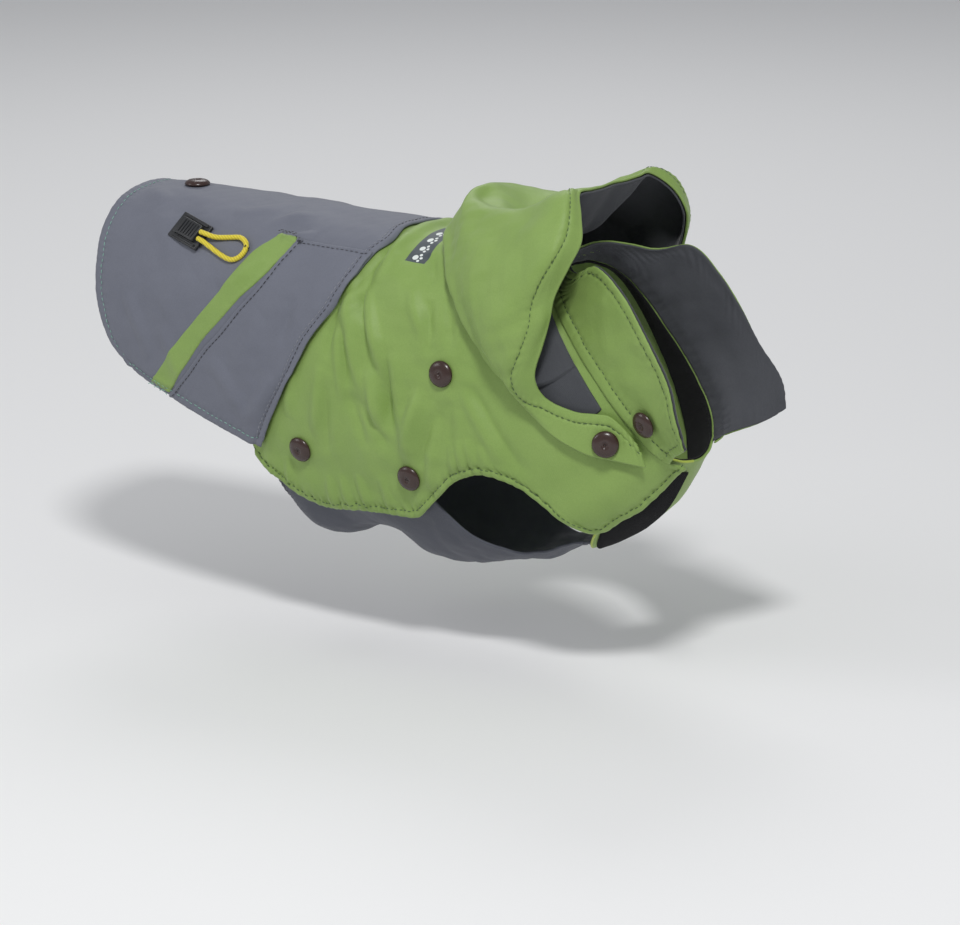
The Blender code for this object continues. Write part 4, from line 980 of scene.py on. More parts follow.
collarMiddle = collarSurface(shares(collar["rows"]), shares(collar["columns"]))
collarSeams = [
    {"side": "rear", "inset": collar["topStitch"], "thread": "darkGreen", "pucker": 0.0003},
    {"side": "front", "inset": collar["standStitch"], "thread": "darkGreen", "pucker": 0.0003},
]
collarSeams += [{"side": side, "inset": collar["topStitch"], "thread": "darkGreen", "pucker": 0.0002}
                for side in ("right", "left")]
collarNormals = gridNormals(collarMiddle, True)
collarPiece = clothPiece("collar_cloth", collarMiddle + collarNormals * gap / 2.0, trim, green, turned=True,
                         seams=collarSeams)
dress(collarPiece, "collar")
# its lining puckers with it, and has no stitches of its own
innerSeams = [{"side": seam["side"], "inset": seam["inset"], "pucker": seam["pucker"], "sink": -0.0001}
              for seam in collarSeams]
collarInner = clothPiece("collar_inner_cloth", collarMiddle - collarNormals * trimLayer, trim, lining,
                         turned=True, seams=innerSeams)
dress(collarInner, "collar_lining")

# The hood, let down. Ribs from the centre of the back to the end of its snapped tab:
# tuck, fold (back, deg, out), crown (back, out), hem line (back, out), rim (back, deg, out)
hoodRibs = (
    (0.018, 0.0670, 0.0, 0.0100, 0.0540, 0.0290, -0.0050, 0.0170, -0.0490, 0.0, 0.0210),
    (0.018, 0.0665, 14.0, 0.0100, 0.0510, 0.0275, -0.0180, 0.0190, -0.0500, 14.0, 0.0220),
    (0.018, 0.0620, 26.0, 0.0095, 0.0300, 0.0310, -0.0460, 0.0355, -0.0510, 26.0, 0.0285),
    (0.016, 0.0540, 37.0, 0.0090, 0.0160, 0.0350, -0.0440, 0.0370, -0.0490, 43.0, 0.0225),
    (0.014, 0.0450, 48.0, 0.0090, 0.0130, 0.0330, -0.0290, 0.0375, -0.0340, 54.0, 0.0250),
    (0.012, 0.0370, 61.0, 0.0090, 0.0170, 0.0270, 0.0040, 0.0295, -0.0110, 64.0, 0.0255),
    (0.009, 0.0300, 71.0, 0.0085, 0.0210, 0.0200, 0.0145, 0.0210, 0.0080, 76.0, 0.0180),
    (0.006, 0.0240, 84.0, 0.0075, 0.0195, 0.0140, 0.0165, 0.0145, 0.0130, 85.0, 0.0125),
    (0.004, 0.0195, 95.0, 0.0068, 0.0175, 0.0095, 0.0155, 0.0092, 0.0128, 92.0, 0.0085),
    (0.002, 0.0150, 105.5, 0.0060, 0.0150, 0.0070, 0.0120, 0.0070, 0.0098, 97.5, 0.0070),
    (0.000, 0.0105, 115.5, 0.0055, 0.0100, 0.0060, 0.0080, 0.0060, 0.0060, 106.0, 0.0060),
    (0.000, 0.0070, 125.5, 0.0050, 0.0060, 0.0055, 0.0050, 0.0055, 0.0022, 114.5, 0.0055),
    (0.000, 0.0046, 134.5, 0.0050, 0.0040, 0.0055, 0.0030, 0.0055, 0.0010, 124.0, 0.0055),
    (0.000, 0.0030, 142.0, 0.0050, 0.0030, 0.0055, 0.0020, 0.0055, 0.0010, 133.0, 0.0055),
)
hood = {
    "rows": 96, "columns": 360, "ribColumns": 40, "tuckRows": 24, "tabColumns": 81,
    "tuckOut": 0.0042, "foldDrop": 0.62, "bulgeBack": 0.12, "bulgeOut": 0.16, "crownShare": 0.45,
    "hemShare": 0.85, "tabRib": 7.0, "tabOver": 2.5, "tabOut": 0.0062, "tabStart": 0.25,
    "rimRibs": (11, 29), "rimFrom": 0.50, "rimOver": 0.40,
    "evenRounds": 3, "evenRows": 4, "evenFrom": 6.6, "evenTo": 10.5,
    "hem": 0.0062, "hemLow": 0.0130, "hemLowRib": 1.5, "hemLowOver": 3.5,
    "hemTab": 0.0050, "hemTabRib": 7.0, "hemTabOver": 1.5,
    "overhang": 0.0026, "overhangAt": 0.245, "overhangWidth": 0.038, "overhangRib": 6.0,
    "swell": 0.0010, "swellSize": 0.030, "crinkle": 0.0003, "crinkleSize": 0.010,
    "swellPower": 0.6, "calm": 0.8, "calmRib": 6.5, "calmOver": 1.5,
}
lastRib = len(hoodRibs) - 1


def hoodGuides(u):
    # The ribs' values at many u; for the left half the rib's number, foldDeg and rimDeg change sign
    numbered = [(float(i), *rib) for i, rib in enumerate(hoodRibs)]
    signs = np.ones(12)
    signs[[0, 3, 10]] = -1.0
    mirrored = [tuple(np.array(row) * signs) for row in reversed(numbered[1:])]
    return np.moveaxis(hermite(mirrored + numbered, (2.0 * np.asarray(u) - 1.0) * lastRib), -1, 0)


def ribAt(u):
    return np.abs(2.0 * np.asarray(u) - 1.0) * lastRib


def overBody(back, deg, out, detail):
    return formPoint(back, deg, out + flapLift(deg), detail)


def hoodSurface(v, u, detail=True):
    # Six guides from the turned-under edge over the crown to the rim, and flat on the body at the tab
    (tuck, foldBack, foldDeg, foldOut, crownBack, crownOut, hemBack, hemOut, rimBack, rimDeg,
     rimOut) = hoodGuides(u)
    crownDeg = foldDeg + (rimDeg - foldDeg) * hood["crownShare"]
    hemDeg = foldDeg + (rimDeg - foldDeg) * hood["hemShare"]
    guides = [
        overBody(foldBack - tuck, foldDeg, np.minimum(hood["tuckOut"], foldOut), detail),
        overBody(foldBack, foldDeg, foldOut * hood["foldDrop"], detail),
        overBody((foldBack + crownBack) / 2.0 + tuck * hood["bulgeBack"], (foldDeg + crownDeg) / 2.0,
                 (foldOut + crownOut) / 2.0 + tuck * hood["bulgeOut"], detail),
        overBody(crownBack, crownDeg, crownOut, detail),
        overBody(hemBack, hemDeg, hemOut, detail),
        overBody(rimBack, rimDeg, rimOut, detail),
    ]
    flat = smoothstep((ribAt(u) - hood["tabRib"]) / hood["tabOver"])[:, None]
    for k, guide in enumerate(guides):
        share = (k / 5.0 - hood["tabStart"]) / (1.0 - hood["tabStart"])
        back = foldBack + (rimBack - foldBack) * share
        deg = foldDeg + (rimDeg - foldDeg) * share
        guides[k] = guide * (1.0 - flat) + overBody(back, deg, hood["tabOut"], detail) * flat
    table = np.array([[k / 5.0, *guide.ravel()] for k, guide in enumerate(guides)])
    return hermite(table, v).reshape(len(v), len(u), 3)


# The hood's own creases, where v and u are taken as metres and degrees of a flat map of it
hoodMap = {"v": 0.085, "u": 348.0}
hoodCreases = (
    (0.0513, -1.0, 0.0575, -16.0, 0.0028, -0.0028, 0.001),
    (0.0575, -22.0, 0.0610, -38.0, 0.0026, -0.0011, 0.001),
    (0.0565, -4.0, 0.0640, -20.0, 0.0030, 0.0018, 0.001),
    (0.0283, -77.0, 0.0330, -98.0, 0.0024, -0.0011, 0.001),
    (0.0380, -69.6, 0.0765, -59.2, 0.0040, -0.0012, 0.002),
    (0.0340, -48.7, 0.0680, -38.3, 0.0045, 0.0011, -0.002),
    (0.0420, -86.0, 0.0620, -78.0, 0.0034, 0.0009, 0.001),
    (0.0380, 69.6, 0.0765, 59.2, 0.0040, -0.0012, 0.002),
    (0.0340, 48.7, 0.0680, 36.0, 0.0045, 0.0011, -0.002),
)


def ribbedFace(v, u):
    # Its ribs stand at the solid's own columns, and the face runs smoothly between them
    ribU = shares(hood["ribColumns"])
    face = hoodSurface(v, ribU, False)
    # at the rim two of them are drawn in line with their neighbours
    for k in hood["rimRibs"]:
        aside = (face[:, k - 1] + face[:, k + 1]) / 2.0 - face[:, k]
        face[:, k] += aside * smoothstep((v - hood["rimFrom"]) / hood["rimOver"])[:, None]
    table = np.concatenate((ribU[:, None], face.transpose(1, 0, 2).reshape(len(ribU), -1)), 1)
    return hermite(table, u).reshape(len(u), len(v), 3).transpose(1, 0, 2)


def evenedFace(face, rib):
    # Where the fold runs out into the tab, neighbouring rows are evened, all but those at the rim
    runOut = smoothstep(rib - hood["evenFrom"]) * (1.0 - smoothstep(rib - hood["evenTo"]))
    runOut = runOut[None, :, None]
    reach = hood["evenRows"]
    width = 2 * reach + 1
    for _ in range(hood["evenRounds"]):
        padded = np.concatenate((face[:reach][::-1], face, face[-reach:][::-1]))
        evened = sum(padded[k: k + len(face)] for k in range(width)) / float(width)
        evened[-2 * reach:] = face[-2 * reach:]
        face = face + (evened - face) * runOut
    return face


def hoodRelief(face, v, u, rib):
    # Soft unevenness that dies out at the turned-under edge, at the rim and on the tab
    calm = 1.0 - hood["calm"] * smoothstep((rib - hood["calmRib"]) / hood["calmOver"])
    swell = np.sin(np.pi * np.clip(v, 0.0, 1.0))[:, None] ** hood["swellPower"] * calm
    height = swell * (hood["swell"] * ripple(face, hood["swellSize"], 31)
                      + hood["crinkle"] * ripple(face, hood["crinkleSize"], 32))
    # the fold hangs over a little along its lower side
    low = np.exp(-(((v[:, None] - hood["overhangAt"]) / hood["overhangWidth"]) ** 2))
    height += hood["overhang"] * low * (1.0 - smoothstep(rib - hood["overhangRib"]))
    mapV, mapU = v[:, None] * hoodMap["v"], (u[None] - 0.5) * hoodMap["u"]
    height += swell**0.5 * foldHeight(mapV, mapU, hoodCreases)
    return height


v, u = shares(hood["rows"]), shares(hood["columns"])
ribNumber = ribAt(u)
hoodFace = evenedFace(ribbedFace(v, u), ribNumber)
hoodFace = hoodFace + gridNormals(hoodFace, True) * hoodRelief(hoodFace, v, u, ribNumber)[..., None]
hoodNormals = gridNormals(hoodFace, True)
# the tab has no turned-under edge
keep = np.ones((hood["rows"], hood["columns"]), bool)
keep[: hood["tuckRows"], : hood["tabColumns"]] = False
keep[: hood["tuckRows"], hood["columns"] - hood["tabColumns"]:] = False
# the rim's hem is wider low on the sides, and narrow again round the tab
widened = smoothstep((ribNumber - hood["hemLowRib"]) / hood["hemLowOver"])
narrowed = smoothstep((ribNumber - hood["hemTabRib"]) / hood["hemTabOver"])
hemInset = hood["hem"] + (hood["hemLow"] - hood["hem"]) * widened
hemInset = hemInset + (hood["hemTab"] - hemInset) * narrowed
hoodSeams = [{"side": "rear", "inset": hemInset, "thread": "darkGreen", "pucker": 0.0003, "sink": 0.0007}]
hoodPiece = clothPiece("hood_cloth", hoodFace - hoodNormals * cloth, cloth, green, turned=True,
                       seams=hoodSeams, keep=keep)
dress(hoodPiece, "hood")

# Its lining: down the inside from the rim, then over the turned-under edge to the neck's seam
hoodLining = {"ease": 0.0006, "tuckedFrom": 9.0 / 40.0, "start": 4.0 / 40.0, "upperRows": 48,
              "floorRows": 18, "lowOut": 0.0042, "underGap": 0.0007, "neckBack": 0.0030,
              "foldShare": 0.50, "foldRise": 0.001, "pastTuck": 0.002, "tabShare": 0.35,
              "beforeRim": 0.001}


def atRows(grid, rows, places):
    # The grid's columns read off at other rows
    return np.stack([np.stack([np.interp(places, rows, grid[:, c, k]) for k in range(3)], -1)
                     for c in range(grid.shape[1])], 1)


def liningFloor(tucked):
    # Three knots (back, deg, out) on the form for each column, and straight rows between them
    f = hoodLining
    tuck, foldBack, foldDeg, _, _, _, _, _, rimBack, rimDeg, _ = hoodGuides(u)
    level = np.ones(len(u))
    lowOut = f["lowOut"] + liningDepth - trim
    neckOut = 2 * (cloth + gap) + f["underGap"] - trim
    inside = [
        (foldBack - f["foldShare"] * tuck, foldDeg, (lowOut + f["foldRise"]) * level),
        (foldBack - tuck - f["pastTuck"], foldDeg, lowOut * level),
        (f["neckBack"] * level, rimDeg, neckOut * level),
    ]
    underOut = (cloth + f["underGap"]) * level
    underTab = [
        (foldBack + (rimBack - foldBack) * f["tabShare"], foldDeg + (rimDeg - foldDeg) * f["tabShare"],
         underOut),
        (rimBack, rimDeg, underOut),
        (np.minimum(f["neckBack"], rimBack - f["beforeRim"]), rimDeg, underOut),
    ]
    knots = np.where(tucked, np.array(inside), np.array(underTab)).reshape(3, -1)
    rows = np.linspace(0, 2, f["floorRows"] + 1)
    places = np.stack([np.interp(rows, np.arange(3.0), column) for column in knots.T], -1)
    return formPoint(*places.reshape(len(rows), 3, -1).transpose(1, 0, 2))


liningDepth = cloth + trim + hoodLining["ease"]
tucked = (u >= hoodLining["tuckedFrom"] - 1e-9) & (u <= 1.0 - hoodLining["tuckedFrom"] + 1e-9)
covered = (u >= hoodLining["start"] - 1e-9) & (u <= 1.0 - hoodLining["start"] + 1e-9)
upperV = np.linspace(1.0, 0.5, hoodLining["upperRows"])
upper = atRows(hoodFace, v, upperV) - atRows(hoodNormals, v, upperV) * liningDepth
upper[:, ~tucked] = np.nan
lower = liningFloor(tucked)
bridge = np.array([upper[-1] + (lower[0] - upper[-1]) * f for f in (0.25, 0.5, 0.75)])
liningGrid = np.concatenate((upper, bridge, lower))
liningGrid[:, ~covered] = np.nan
liningPiece = clothPiece("hood_lining_cloth", liningGrid, trim, lining)
dress(liningPiece, "hood_lining")
print("collar and hood made")

# Snaps: a domed cap with a ring and a dimple
snap = {
    "diameter": 0.015, "height": 0.0032, "steps": 48, "seatSamples": 12, "surfaceStep": 0.004,
    # half profile from the dimple's middle to the foot: share of the radius, share of the height
    "profile": (
        (0.00, 0.66), (0.05, 0.66), (0.085, 0.70), (0.11, 0.86), (0.14, 0.905), (0.17, 0.90),
        (0.19, 0.86), (0.215, 0.865), (0.24, 0.93), (0.30, 0.985), (0.42, 0.985), (0.55, 0.945),
        (0.68, 0.87), (0.80, 0.75), (0.90, 0.585), (0.965, 0.40), (0.995, 0.24), (0.985, 0.10),
        (0.93, 0.0), (0.00, 0.0),
    ),
}
capRadius = snap["diameter"] / 2.0

# Snaps on the hood's tab and on the collar: surface, v, u, how far they stand off it, ease
surfaceSnaps = {
    "snap_tab_right": (hoodSurface, 0.50, 0.077, 0.0, 0.0004),
    "snap_tab_left": (hoodSurface, 0.50, 1.0 - 0.077, 0.0, 0.0004),
    "snap_collar_right": (collarSurface, 0.27, 0.115, trimLayer, 0.0010),
    "snap_collar_left": (collarSurface, 0.27, 0.860, trimLayer, 0.0010),
}


def frameOn(point, normal, ahead=(1.0, 0.0, 0.0)):
    z = Vector(normal).normalized()
    x = Vector(ahead)
    x = (x - z * x.dot(z)).normalized()
    turn = Matrix((x, z.cross(x), z)).transposed().to_4x4()
    turn.translation = Vector(point)
    return turn


def liftedSeat(centre, normal, edgeAt, ease):
    # A flat seat that just clears what stands highest round its edge
    highest = 0.0
    for i in range(snap["seatSamples"]):
        angle = math.tau * i / snap["seatSamples"]
        highest = max(highest, float((edgeAt(math.cos(angle), math.sin(angle)) - centre) @ normal))
    return centre + normal * (highest + ease), normal


def seatOnForm(back, deg, out, reach):
    forward, around = formRuns(np.array(back), np.array(deg))
    perBack, perRound = np.linalg.norm(forward) / 0.002, np.linalg.norm(around)

    def edgeAt(ahead, aside):
        return formPoint(back - reach * ahead / perBack, deg + reach * aside / perRound, out, False)

    return liftedSeat(formPoint(back, deg, out, False), unit(np.cross(forward, around)), edgeAt, gap)


def seatOnSurface(surface, v, u, stand, reach, ease):
    def at(v, u):
        step = snap["surfaceStep"]
        p = surface(np.array((v - step, v, v + step)), np.array((u - step, u, u + step)), False)
        up, along = p[2, 1] - p[0, 1], p[1, 2] - p[1, 0]
        normal = np.cross(up, along)
        normal = normal / np.linalg.norm(normal)
        return p[1, 1] + normal * stand, normal, up / (2 * step), along / (2 * step)

    centre, normal, up, along = at(v, u)
    perV, perU = np.linalg.norm(up), np.linalg.norm(along)

    def edgeAt(ahead, aside):
        return at(v + reach * ahead / perV, u + reach * aside / perU)[0]

    return liftedSeat(centre, normal, edgeAt, ease)


def snapMesh(name, turn):
    # A half profile turned round the cap's middle, one ring of points after another
    height, count = snap["height"], snap["steps"]
    turns = [math.tau * i / count for i in range(count)]
    shape = bmesh.new()
    previous = None
    for x, z in snap["profile"]:
        if x == 0.0:
            ring = [shape.verts.new((0.0, 0.0, z * height))]
        else:
            radius = x * capRadius
            ring = [shape.verts.new((radius * math.cos(a), radius * math.sin(a), z * height)) for a in turns]
        if previous:
            for i in range(count):
                j = (i + 1) % count
                corners = [previous[i % len(previous)], ring[i % len(ring)], ring[j % len(ring)],
                           previous[j % len(previous)]]
                shape.faces.new(list(dict.fromkeys(corners)))
        previous = ring
    bmesh.ops.recalc_face_normals(shape, faces=shape.faces)
    mesh = bpy.data.meshes.new(name)
    shape.transform(turn)
    shape.to_mesh(mesh)
    shape.free()
    mesh.shade_smooth()
    mesh.materials.append(snapPlastic)
    return addToScene(name, mesh)


snapSeats = {name: seatOnForm(back, deg, out, capRadius)
             for name, (back, deg, _, _, out) in formSnaps.items()}
snapSeats |= {name: seatOnSurface(surface, v, u, stand, capRadius, ease)
              for name, (surface, v, u, stand, ease) in surfaceSnaps.items()}
for name, (point, normal) in snapSeats.items():
    dress(snapMesh(name.replace("snap", "cap"), frameOn(point, normal)), name)
print("snaps set")

# The cord lock: a plate with rounded corners, a raised pad with ribs, a foot and two rails
lock = {
    "back": 0.2345, "deg": -39.0, "runBack": -0.0120, "runDeg": -2.65, "seatShare": 0.6,
    "length": 0.0255, "width": 0.0170, "plate": 0.0020, "plateEdge": 0.0006, "pad": 0.0030,
    "padStart": -0.0070, "padEnd": 0.0088, "padWidth": 0.64, "padSunk": 0.0005, "padEdge": 0.0007,
    "footStart": 0.0018, "footEnd": 0.0008, "footWidth": 0.66, "footRise": 0.0007,
    "railReach": 0.002, "railWidth": 0.0012, "railAside": 0.40, "railRise": 0.0012,
    "ribs": 6, "ribHalf": 0.0005, "ribWidth": 0.50, "ribHeight": 0.0006, "ribEdge": 0.0003,
    "sunk": 0.0004, "edge": 0.0004, "smoothDeg": 40.0,
}


def bevelledBlock(start, end, width, base, top, edge, segments):
    block = bmesh.new()
    bmesh.ops.create_cube(block, size=1.0)
    for vertex in block.verts:
        x, y, z = vertex.co
        vertex.co = ((start + end) / 2 + x * (end - start), y * width, (base + top) / 2 + z * (top - base))
    bmesh.ops.bevel(block, geom=list(block.edges), offset=edge, segments=segments, profile=0.5,
                    affect="EDGES")
    return block


def buildLock(v):
    point, normal = seatOnForm(v["back"], v["deg"], saddleFace, v["width"] * v["seatShare"])
    front = formPoint(v["back"] + v["runBack"], v["deg"] + v["runDeg"], saddleFace, False)
    turn = frameOn(point, normal, front - formPoint(v["back"], v["deg"], saddleFace, False))
    half, width, plate = v["length"] / 2.0, v["width"], v["plate"]
    top = plate + v["pad"]
    blocks = [
        bevelledBlock(-half, half, width, 0.0, plate, v["plateEdge"], 3),
        bevelledBlock(v["padStart"], v["padEnd"], width * v["padWidth"], plate - v["padSunk"], top,
                      v["padEdge"], 3),
        bevelledBlock(-half + v["footStart"], v["padStart"] - v["footEnd"], width * v["footWidth"],
                      plate - v["sunk"], plate + v["footRise"], v["edge"], 2),
    ]
    for side in (-1.0, 1.0):
        rail = bevelledBlock(v["padStart"] - v["railReach"], v["padEnd"] + v["railReach"], v["railWidth"],
                             plate - v["sunk"], plate + v["railRise"], v["edge"], 2)
        bmesh.ops.translate(rail, verts=rail.verts, vec=(0.0, side * width * v["railAside"], 0.0))
        blocks.append(rail)
    pitch = (v["padEnd"] - v["padStart"]) / (v["ribs"] + 1)
    for i in range(v["ribs"]):
        x = v["padStart"] + pitch * (i + 1)
        blocks.append(bevelledBlock(x - v["ribHalf"], x + v["ribHalf"], width * v["ribWidth"],
                                    top - v["sunk"], top + v["ribHeight"], v["ribEdge"], 2))
    whole = bmesh.new()
    for block in blocks:
        block.transform(turn)
        part = bpy.data.meshes.new("part")
        block.to_mesh(part)
        block.free()
        whole.from_mesh(part)
        bpy.data.meshes.remove(part)
    bmesh.ops.recalc_face_normals(whole, faces=whole.faces)
    mesh = bpy.data.meshes.new("cord_lock_body")
    whole.to_mesh(mesh)
    whole.free()
    mesh.shade_smooth()
    mesh.set_sharp_from_angle(angle=math.radians(v["smoothDeg"]))
    mesh.materials.append(lockPlastic)
    return addToScene("cord_lock_body", mesh)


dress(buildLock(lock), "cord_lock")

# The elastic loop, out of the lock's pad and back into it: back, deg, rise
elastic = {"diameter": 0.0030, "pieces": 37}
loopRoute = (
    (0.2246, -39.4, 0.0026), (0.2205, -39.8, 0.0024), (0.2140, -39.9, 0.0008), (0.2050, -38.3, 0.0000),
    (0.1975, -37.3, 0.0000), (0.1920, -39.6, 0.0000), (0.1908, -43.0, 0.0000), (0.1930, -46.6, 0.0000),
    (0.1972, -48.6, 0.0000), (0.2020, -48.6, 0.0000), (0.2090, -47.0, 0.0000), (0.2150, -45.2, 0.0008),
    (0.2205, -43.6, 0.0024), (0.2246, -42.8, 0.0026),
)
loopBack, loopDeg, rise = np.moveaxis(hermite(numberedRows(loopRoute), shares(elastic["pieces"])), -1, 0)
loopOut = saddleFace + elastic["diameter"] / 2 + gap + np.maximum(rise, 0.0)
loopLine = formPoint(loopBack, loopDeg, loopOut, False)


def lineCurve(name, lines, radius=0.0, resolution=4):
    # A curve through each line's points, round and closed where it has a radius
    curve = bpy.data.curves.new(name, "CURVE")
    curve.dimensions = "3D"
    curve.bevel_depth = radius
    curve.bevel_resolution = resolution
    curve.use_fill_caps = radius > 0.0
    for line in lines:
        spline = curve.splines.new("POLY")
        spline.points.add(len(line) - 1)
        for spot, place in zip(spline.points, line):
            spot.co = (*place, 1.0)
    return curve


loopCurve = lineCurve("elastic_loop", [loopLine], elastic["diameter"] / 2.0)
loopCurve.materials.append(yellowElastic)
loopPiece = addToScene("elastic_loop", loopCurve)
dress(loopPiece, "cord_loop")
print("lock and loop made")

# Thin piping along the left flap's edges
piping = {"radius": 0.0008, "colour": (0.50, 0.62, 0.075), "pieces": 59}
pipingCloth = threadMaterial("yellow green piping", piping["colour"])


def plainMesh(name, drawn):
    # What the curve and its modifier make, as a plain mesh; the curve itself goes
    bpy.context.view_layer.update()
    mesh = bpy.data.meshes.new_from_object(drawn.evaluated_get(bpy.context.evaluated_depsgraph_get()))
    bpy.data.objects.remove(drawn)
    mesh.name = name
    return mesh


def pipe(name, line, radius, material):
    mesh = plainMesh(name, addToScene(f"{name}_line", lineCurve(name, [line], radius, 2)))
    mesh.materials.clear()
    mesh.materials.append(material)
    mesh.shade_smooth()
    made = addToScene(name, mesh)
    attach(made, "root")


for name, row, start in (("flap_piping_low", body["flapRows"], 0.35), ("flap_piping_neck", 0.0, 0.40)):
    edgeBack, edgeDeg = flapPlaces(np.array((row,)), shares(piping["pieces"], start))
    pipe(name, formPoint(edgeBack, edgeDeg, cloth / 2.0)[0], piping["radius"], pipingCloth)

# Bar tacks: short rows of close stitches laid across an end
def barTack(backA, degA, backB, degB, out, turns, width, thread):
    line = []
    for i in range(turns + 1):
        f = i / turns
        back = backA + (backB - backA) * f
        deg = degA + (degB - degA) * f + (width if i % 2 else -width)
        line.append(formPoint(back, deg, out))
    stitchLines[thread].append((line, sewing["tackLength"]))


onPocket = saddleFace + gap + trim + sewing["tackLift"]
onWelt = saddleFace + gap + cloth + sewing["weltTackLift"]
barTack(0.1598, -31.4, 0.1745, -29.0, onWelt, 18, 0.7, "black")
barTack(0.1588, -32.2, 0.1560, -33.6, onPocket, 7, 0.9, "darkGrey")
barTack(0.2490, -111.0, 0.2625, -109.2, onWelt, 12, 0.6, "teal")

# The black thread that holds the loop's end down: three strands over the cord
wrap = {"place": (0.1903, -41.5), "runFrom": (0.1930, -41.0), "runTo": (0.1880, -41.8),
        "half": 0.0021, "rise": 0.0036, "overlap": 0.2, "steps": 8,
        "strands": (-0.0004, 0.0001, 0.0005)}
wrapPoint = formPoint(*wrap["place"], saddleFace)
wrapNormal = formNormal(*np.array(wrap["place"]))
wrapRun = unit(formPoint(*wrap["runTo"], saddleFace) - formPoint(*wrap["runFrom"], saddleFace))
for aside in wrap["strands"]:
    arc = []
    for angle in shares(wrap["steps"], -wrap["overlap"], np.pi + wrap["overlap"]):
        arc.append(wrapPoint + wrapRun * wrap["half"] * math.cos(angle)
                   + wrapNormal * wrap["rise"] * math.sin(angle) + np.cross(wrapRun, wrapNormal) * aside)
    stitchLines["black"].append((arc, sewing["wrapLength"]))

# Sewing: a row of short rounded stitches along each line

def socket(tree, name, kind, value=None):
    made = tree.interface.new_socket(name, in_out="INPUT", socket_type=kind)
    if value is not None:
        made.default_value = value
    return made.identifier


def stitchTree(v):
    tree = bpy.data.node_groups.new("stitchRows", "GeometryNodeTree")
    tree.interface.new_socket("Geometry", in_out="OUTPUT", socket_type="NodeSocketGeometry")
    ids = {"lines": socket(tree, "Lines", "NodeSocketGeometry")}
    ids["pitch"] = socket(tree, "Pitch", "NodeSocketFloat", v["length"] + v["gap"])
    ids["length"] = socket(tree, "Stitch length", "NodeSocketFloat", v["length"])
    ids["thread"] = socket(tree, "Thread radius", "NodeSocketFloat", v["thread"])
    ids["seed"] = socket(tree, "Seed", "NodeSocketInt", v["seed"])
    ids["finish"] = socket(tree, "Thread", "NodeSocketMaterial")
    come = node(tree, "NodeGroupInput")
    go = node(tree, "NodeGroupOutput")
    spaced = node(tree, "GeometryNodeResampleCurve", mode="LENGTH")
    tree.links.new(come.outputs["Lines"], spaced.inputs["Curve"])
    tree.links.new(come.outputs["Pitch"], spaced.inputs["Length"])
    ball = node(tree, "GeometryNodeMeshUVSphere", {"Segments": 6, "Rings": 5, "Radius": 1.0})
    halfLength = math2(tree, "MULTIPLY", come.outputs["Stitch length"], 0.5)
    size = node(tree, "ShaderNodeCombineXYZ")
    tree.links.new(come.outputs["Thread radius"], size.inputs[0])
    tree.links.new(come.outputs["Thread radius"], size.inputs[1])
    tree.links.new(halfLength, size.inputs[2])
    shaped = node(tree, "GeometryNodeTransform")
    tree.links.new(ball.outputs["Mesh"], shaped.inputs["Geometry"])
    tree.links.new(size.outputs[0], shaped.inputs["Scale"])
    tangent = node(tree, "GeometryNodeInputTangent")
    align = node(tree, "FunctionNodeAlignRotationToVector", axis="Z")
    tree.links.new(tangent.outputs[0], align.inputs["Vector"])
    uneven = node(tree, "FunctionNodeRandomValue", data_type="FLOAT")
    uneven.inputs[2].default_value, uneven.inputs[3].default_value = v["least"], v["most"]
    tree.links.new(come.outputs["Seed"], uneven.inputs["Seed"])
    placed = node(tree, "GeometryNodeInstanceOnPoints")
    tree.links.new(spaced.outputs["Curve"], placed.inputs["Points"])
    tree.links.new(shaped.outputs["Geometry"], placed.inputs["Instance"])
    tree.links.new(align.outputs["Rotation"], placed.inputs["Rotation"])
    tree.links.new(uneven.outputs[1], placed.inputs["Scale"])
    real = node(tree, "GeometryNodeRealizeInstances")
    tree.links.new(placed.outputs["Instances"], real.inputs["Geometry"])
    smooth = node(tree, "GeometryNodeSetShadeSmooth")
    tree.links.new(real.outputs["Geometry"], smooth.inputs["Geometry"])
    finish = node(tree, "GeometryNodeSetMaterial")
    tree.links.new(smooth.outputs["Geometry"], finish.inputs["Geometry"])
    tree.links.new(come.outputs["Thread"], finish.inputs["Material"])
    tree.links.new(finish.outputs["Geometry"], go.inputs["Geometry"])
    return tree, ids


stitchRows, stitchInputs = stitchTree(sewing)


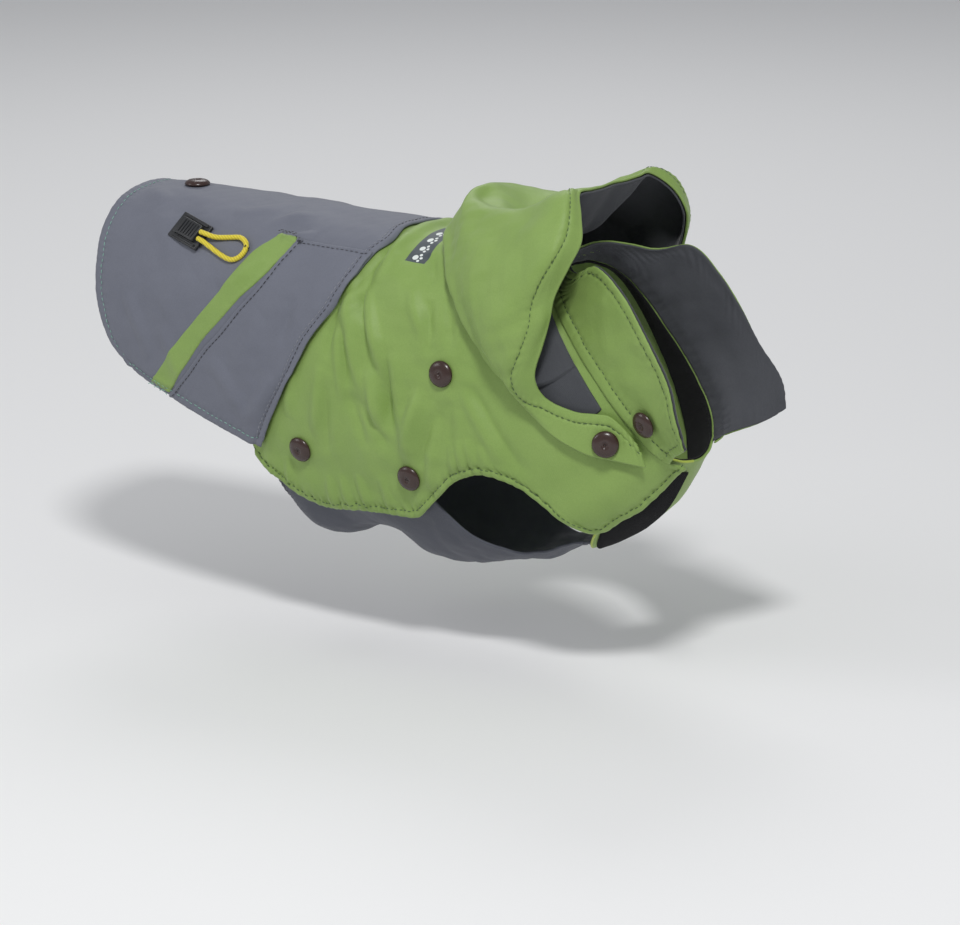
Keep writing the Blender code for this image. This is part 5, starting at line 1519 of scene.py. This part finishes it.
def sew(name, lines, length, thread):
    drawn = addToScene(f"{name}_lines", lineCurve(name, lines))
    rows = drawn.modifiers.new("stitches", "NODES")
    rows.node_group = stitchRows
    rows[stitchInputs["pitch"]] = length + sewing["gap"]
    rows[stitchInputs["length"]] = length
    rows[stitchInputs["thread"]] = sewing["thread"]
    rows[stitchInputs["seed"]] = sewing["seed"]
    rows[stitchInputs["finish"]] = threads[thread]
    made = addToScene(name, plainMesh(name, drawn))
    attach(made, "root")
    print(f"{name}: {len(made.data.polygons)} faces")


for thread, rows in stitchLines.items():
    for length in sorted({row[1] for row in rows}):
        chosen = [row[0] for row in rows if row[1] == length and len(row[0]) > 2]
        if chosen:
            sew(f"stitches_{thread}_{round(length * 10000)}", chosen, length, thread)
print("sewing done")

# Pale floor and soft studio light
studio = {"floorZ": -0.235, "floorReach": 6.0, "paper": (0.86, 0.86, 0.86), "paperRoughness": 0.9,
          "world": (0.94, 0.96, 1.0), "worldStrength": 0.36, "aim": (0.0, 0.0, -0.06)}
bpy.context.scene.view_settings.view_transform = "Standard"
reach, level = studio["floorReach"], studio["floorZ"]
floorMesh = bpy.data.meshes.new("floor")
floorMesh.from_pydata([(x * reach, y * reach, level) for x, y in ((-1, -1), (1, -1), (1, 1), (-1, 1))], [],
                      [(0, 1, 2, 3)])
floorMesh.materials.append(startMaterial("pale floor", studio["paper"], studio["paperRoughness"])[0])
floor = addToScene("floor", floorMesh)

world = bpy.data.worlds.new("studio")
world.use_nodes = True
background = world.node_tree.nodes["Background"]
background.inputs["Color"].default_value = (*studio["world"], 1.0)
background.inputs["Strength"].default_value = studio["worldStrength"]
bpy.context.scene.world = world


def softLight(name, place, size, power):
    data = bpy.data.lights.new(name, "AREA")
    data.shape = "DISK"
    data.size = size
    data.energy = power
    light = addToScene(name, data)
    light.location = place
    light.rotation_mode = "QUATERNION"
    light.rotation_quaternion = (Vector(place) - Vector(studio["aim"])).to_track_quat("Z", "Y")


softLight("key light", (0.85, -1.05, 1.60), size=0.35, power=25.0)
softLight("side light", (-1.3, -1.2, 0.9), size=0.9, power=6.0)
softLight("rear light", (-1.0, 1.4, 1.4), size=1.0, power=9.0)
print("studio lit")
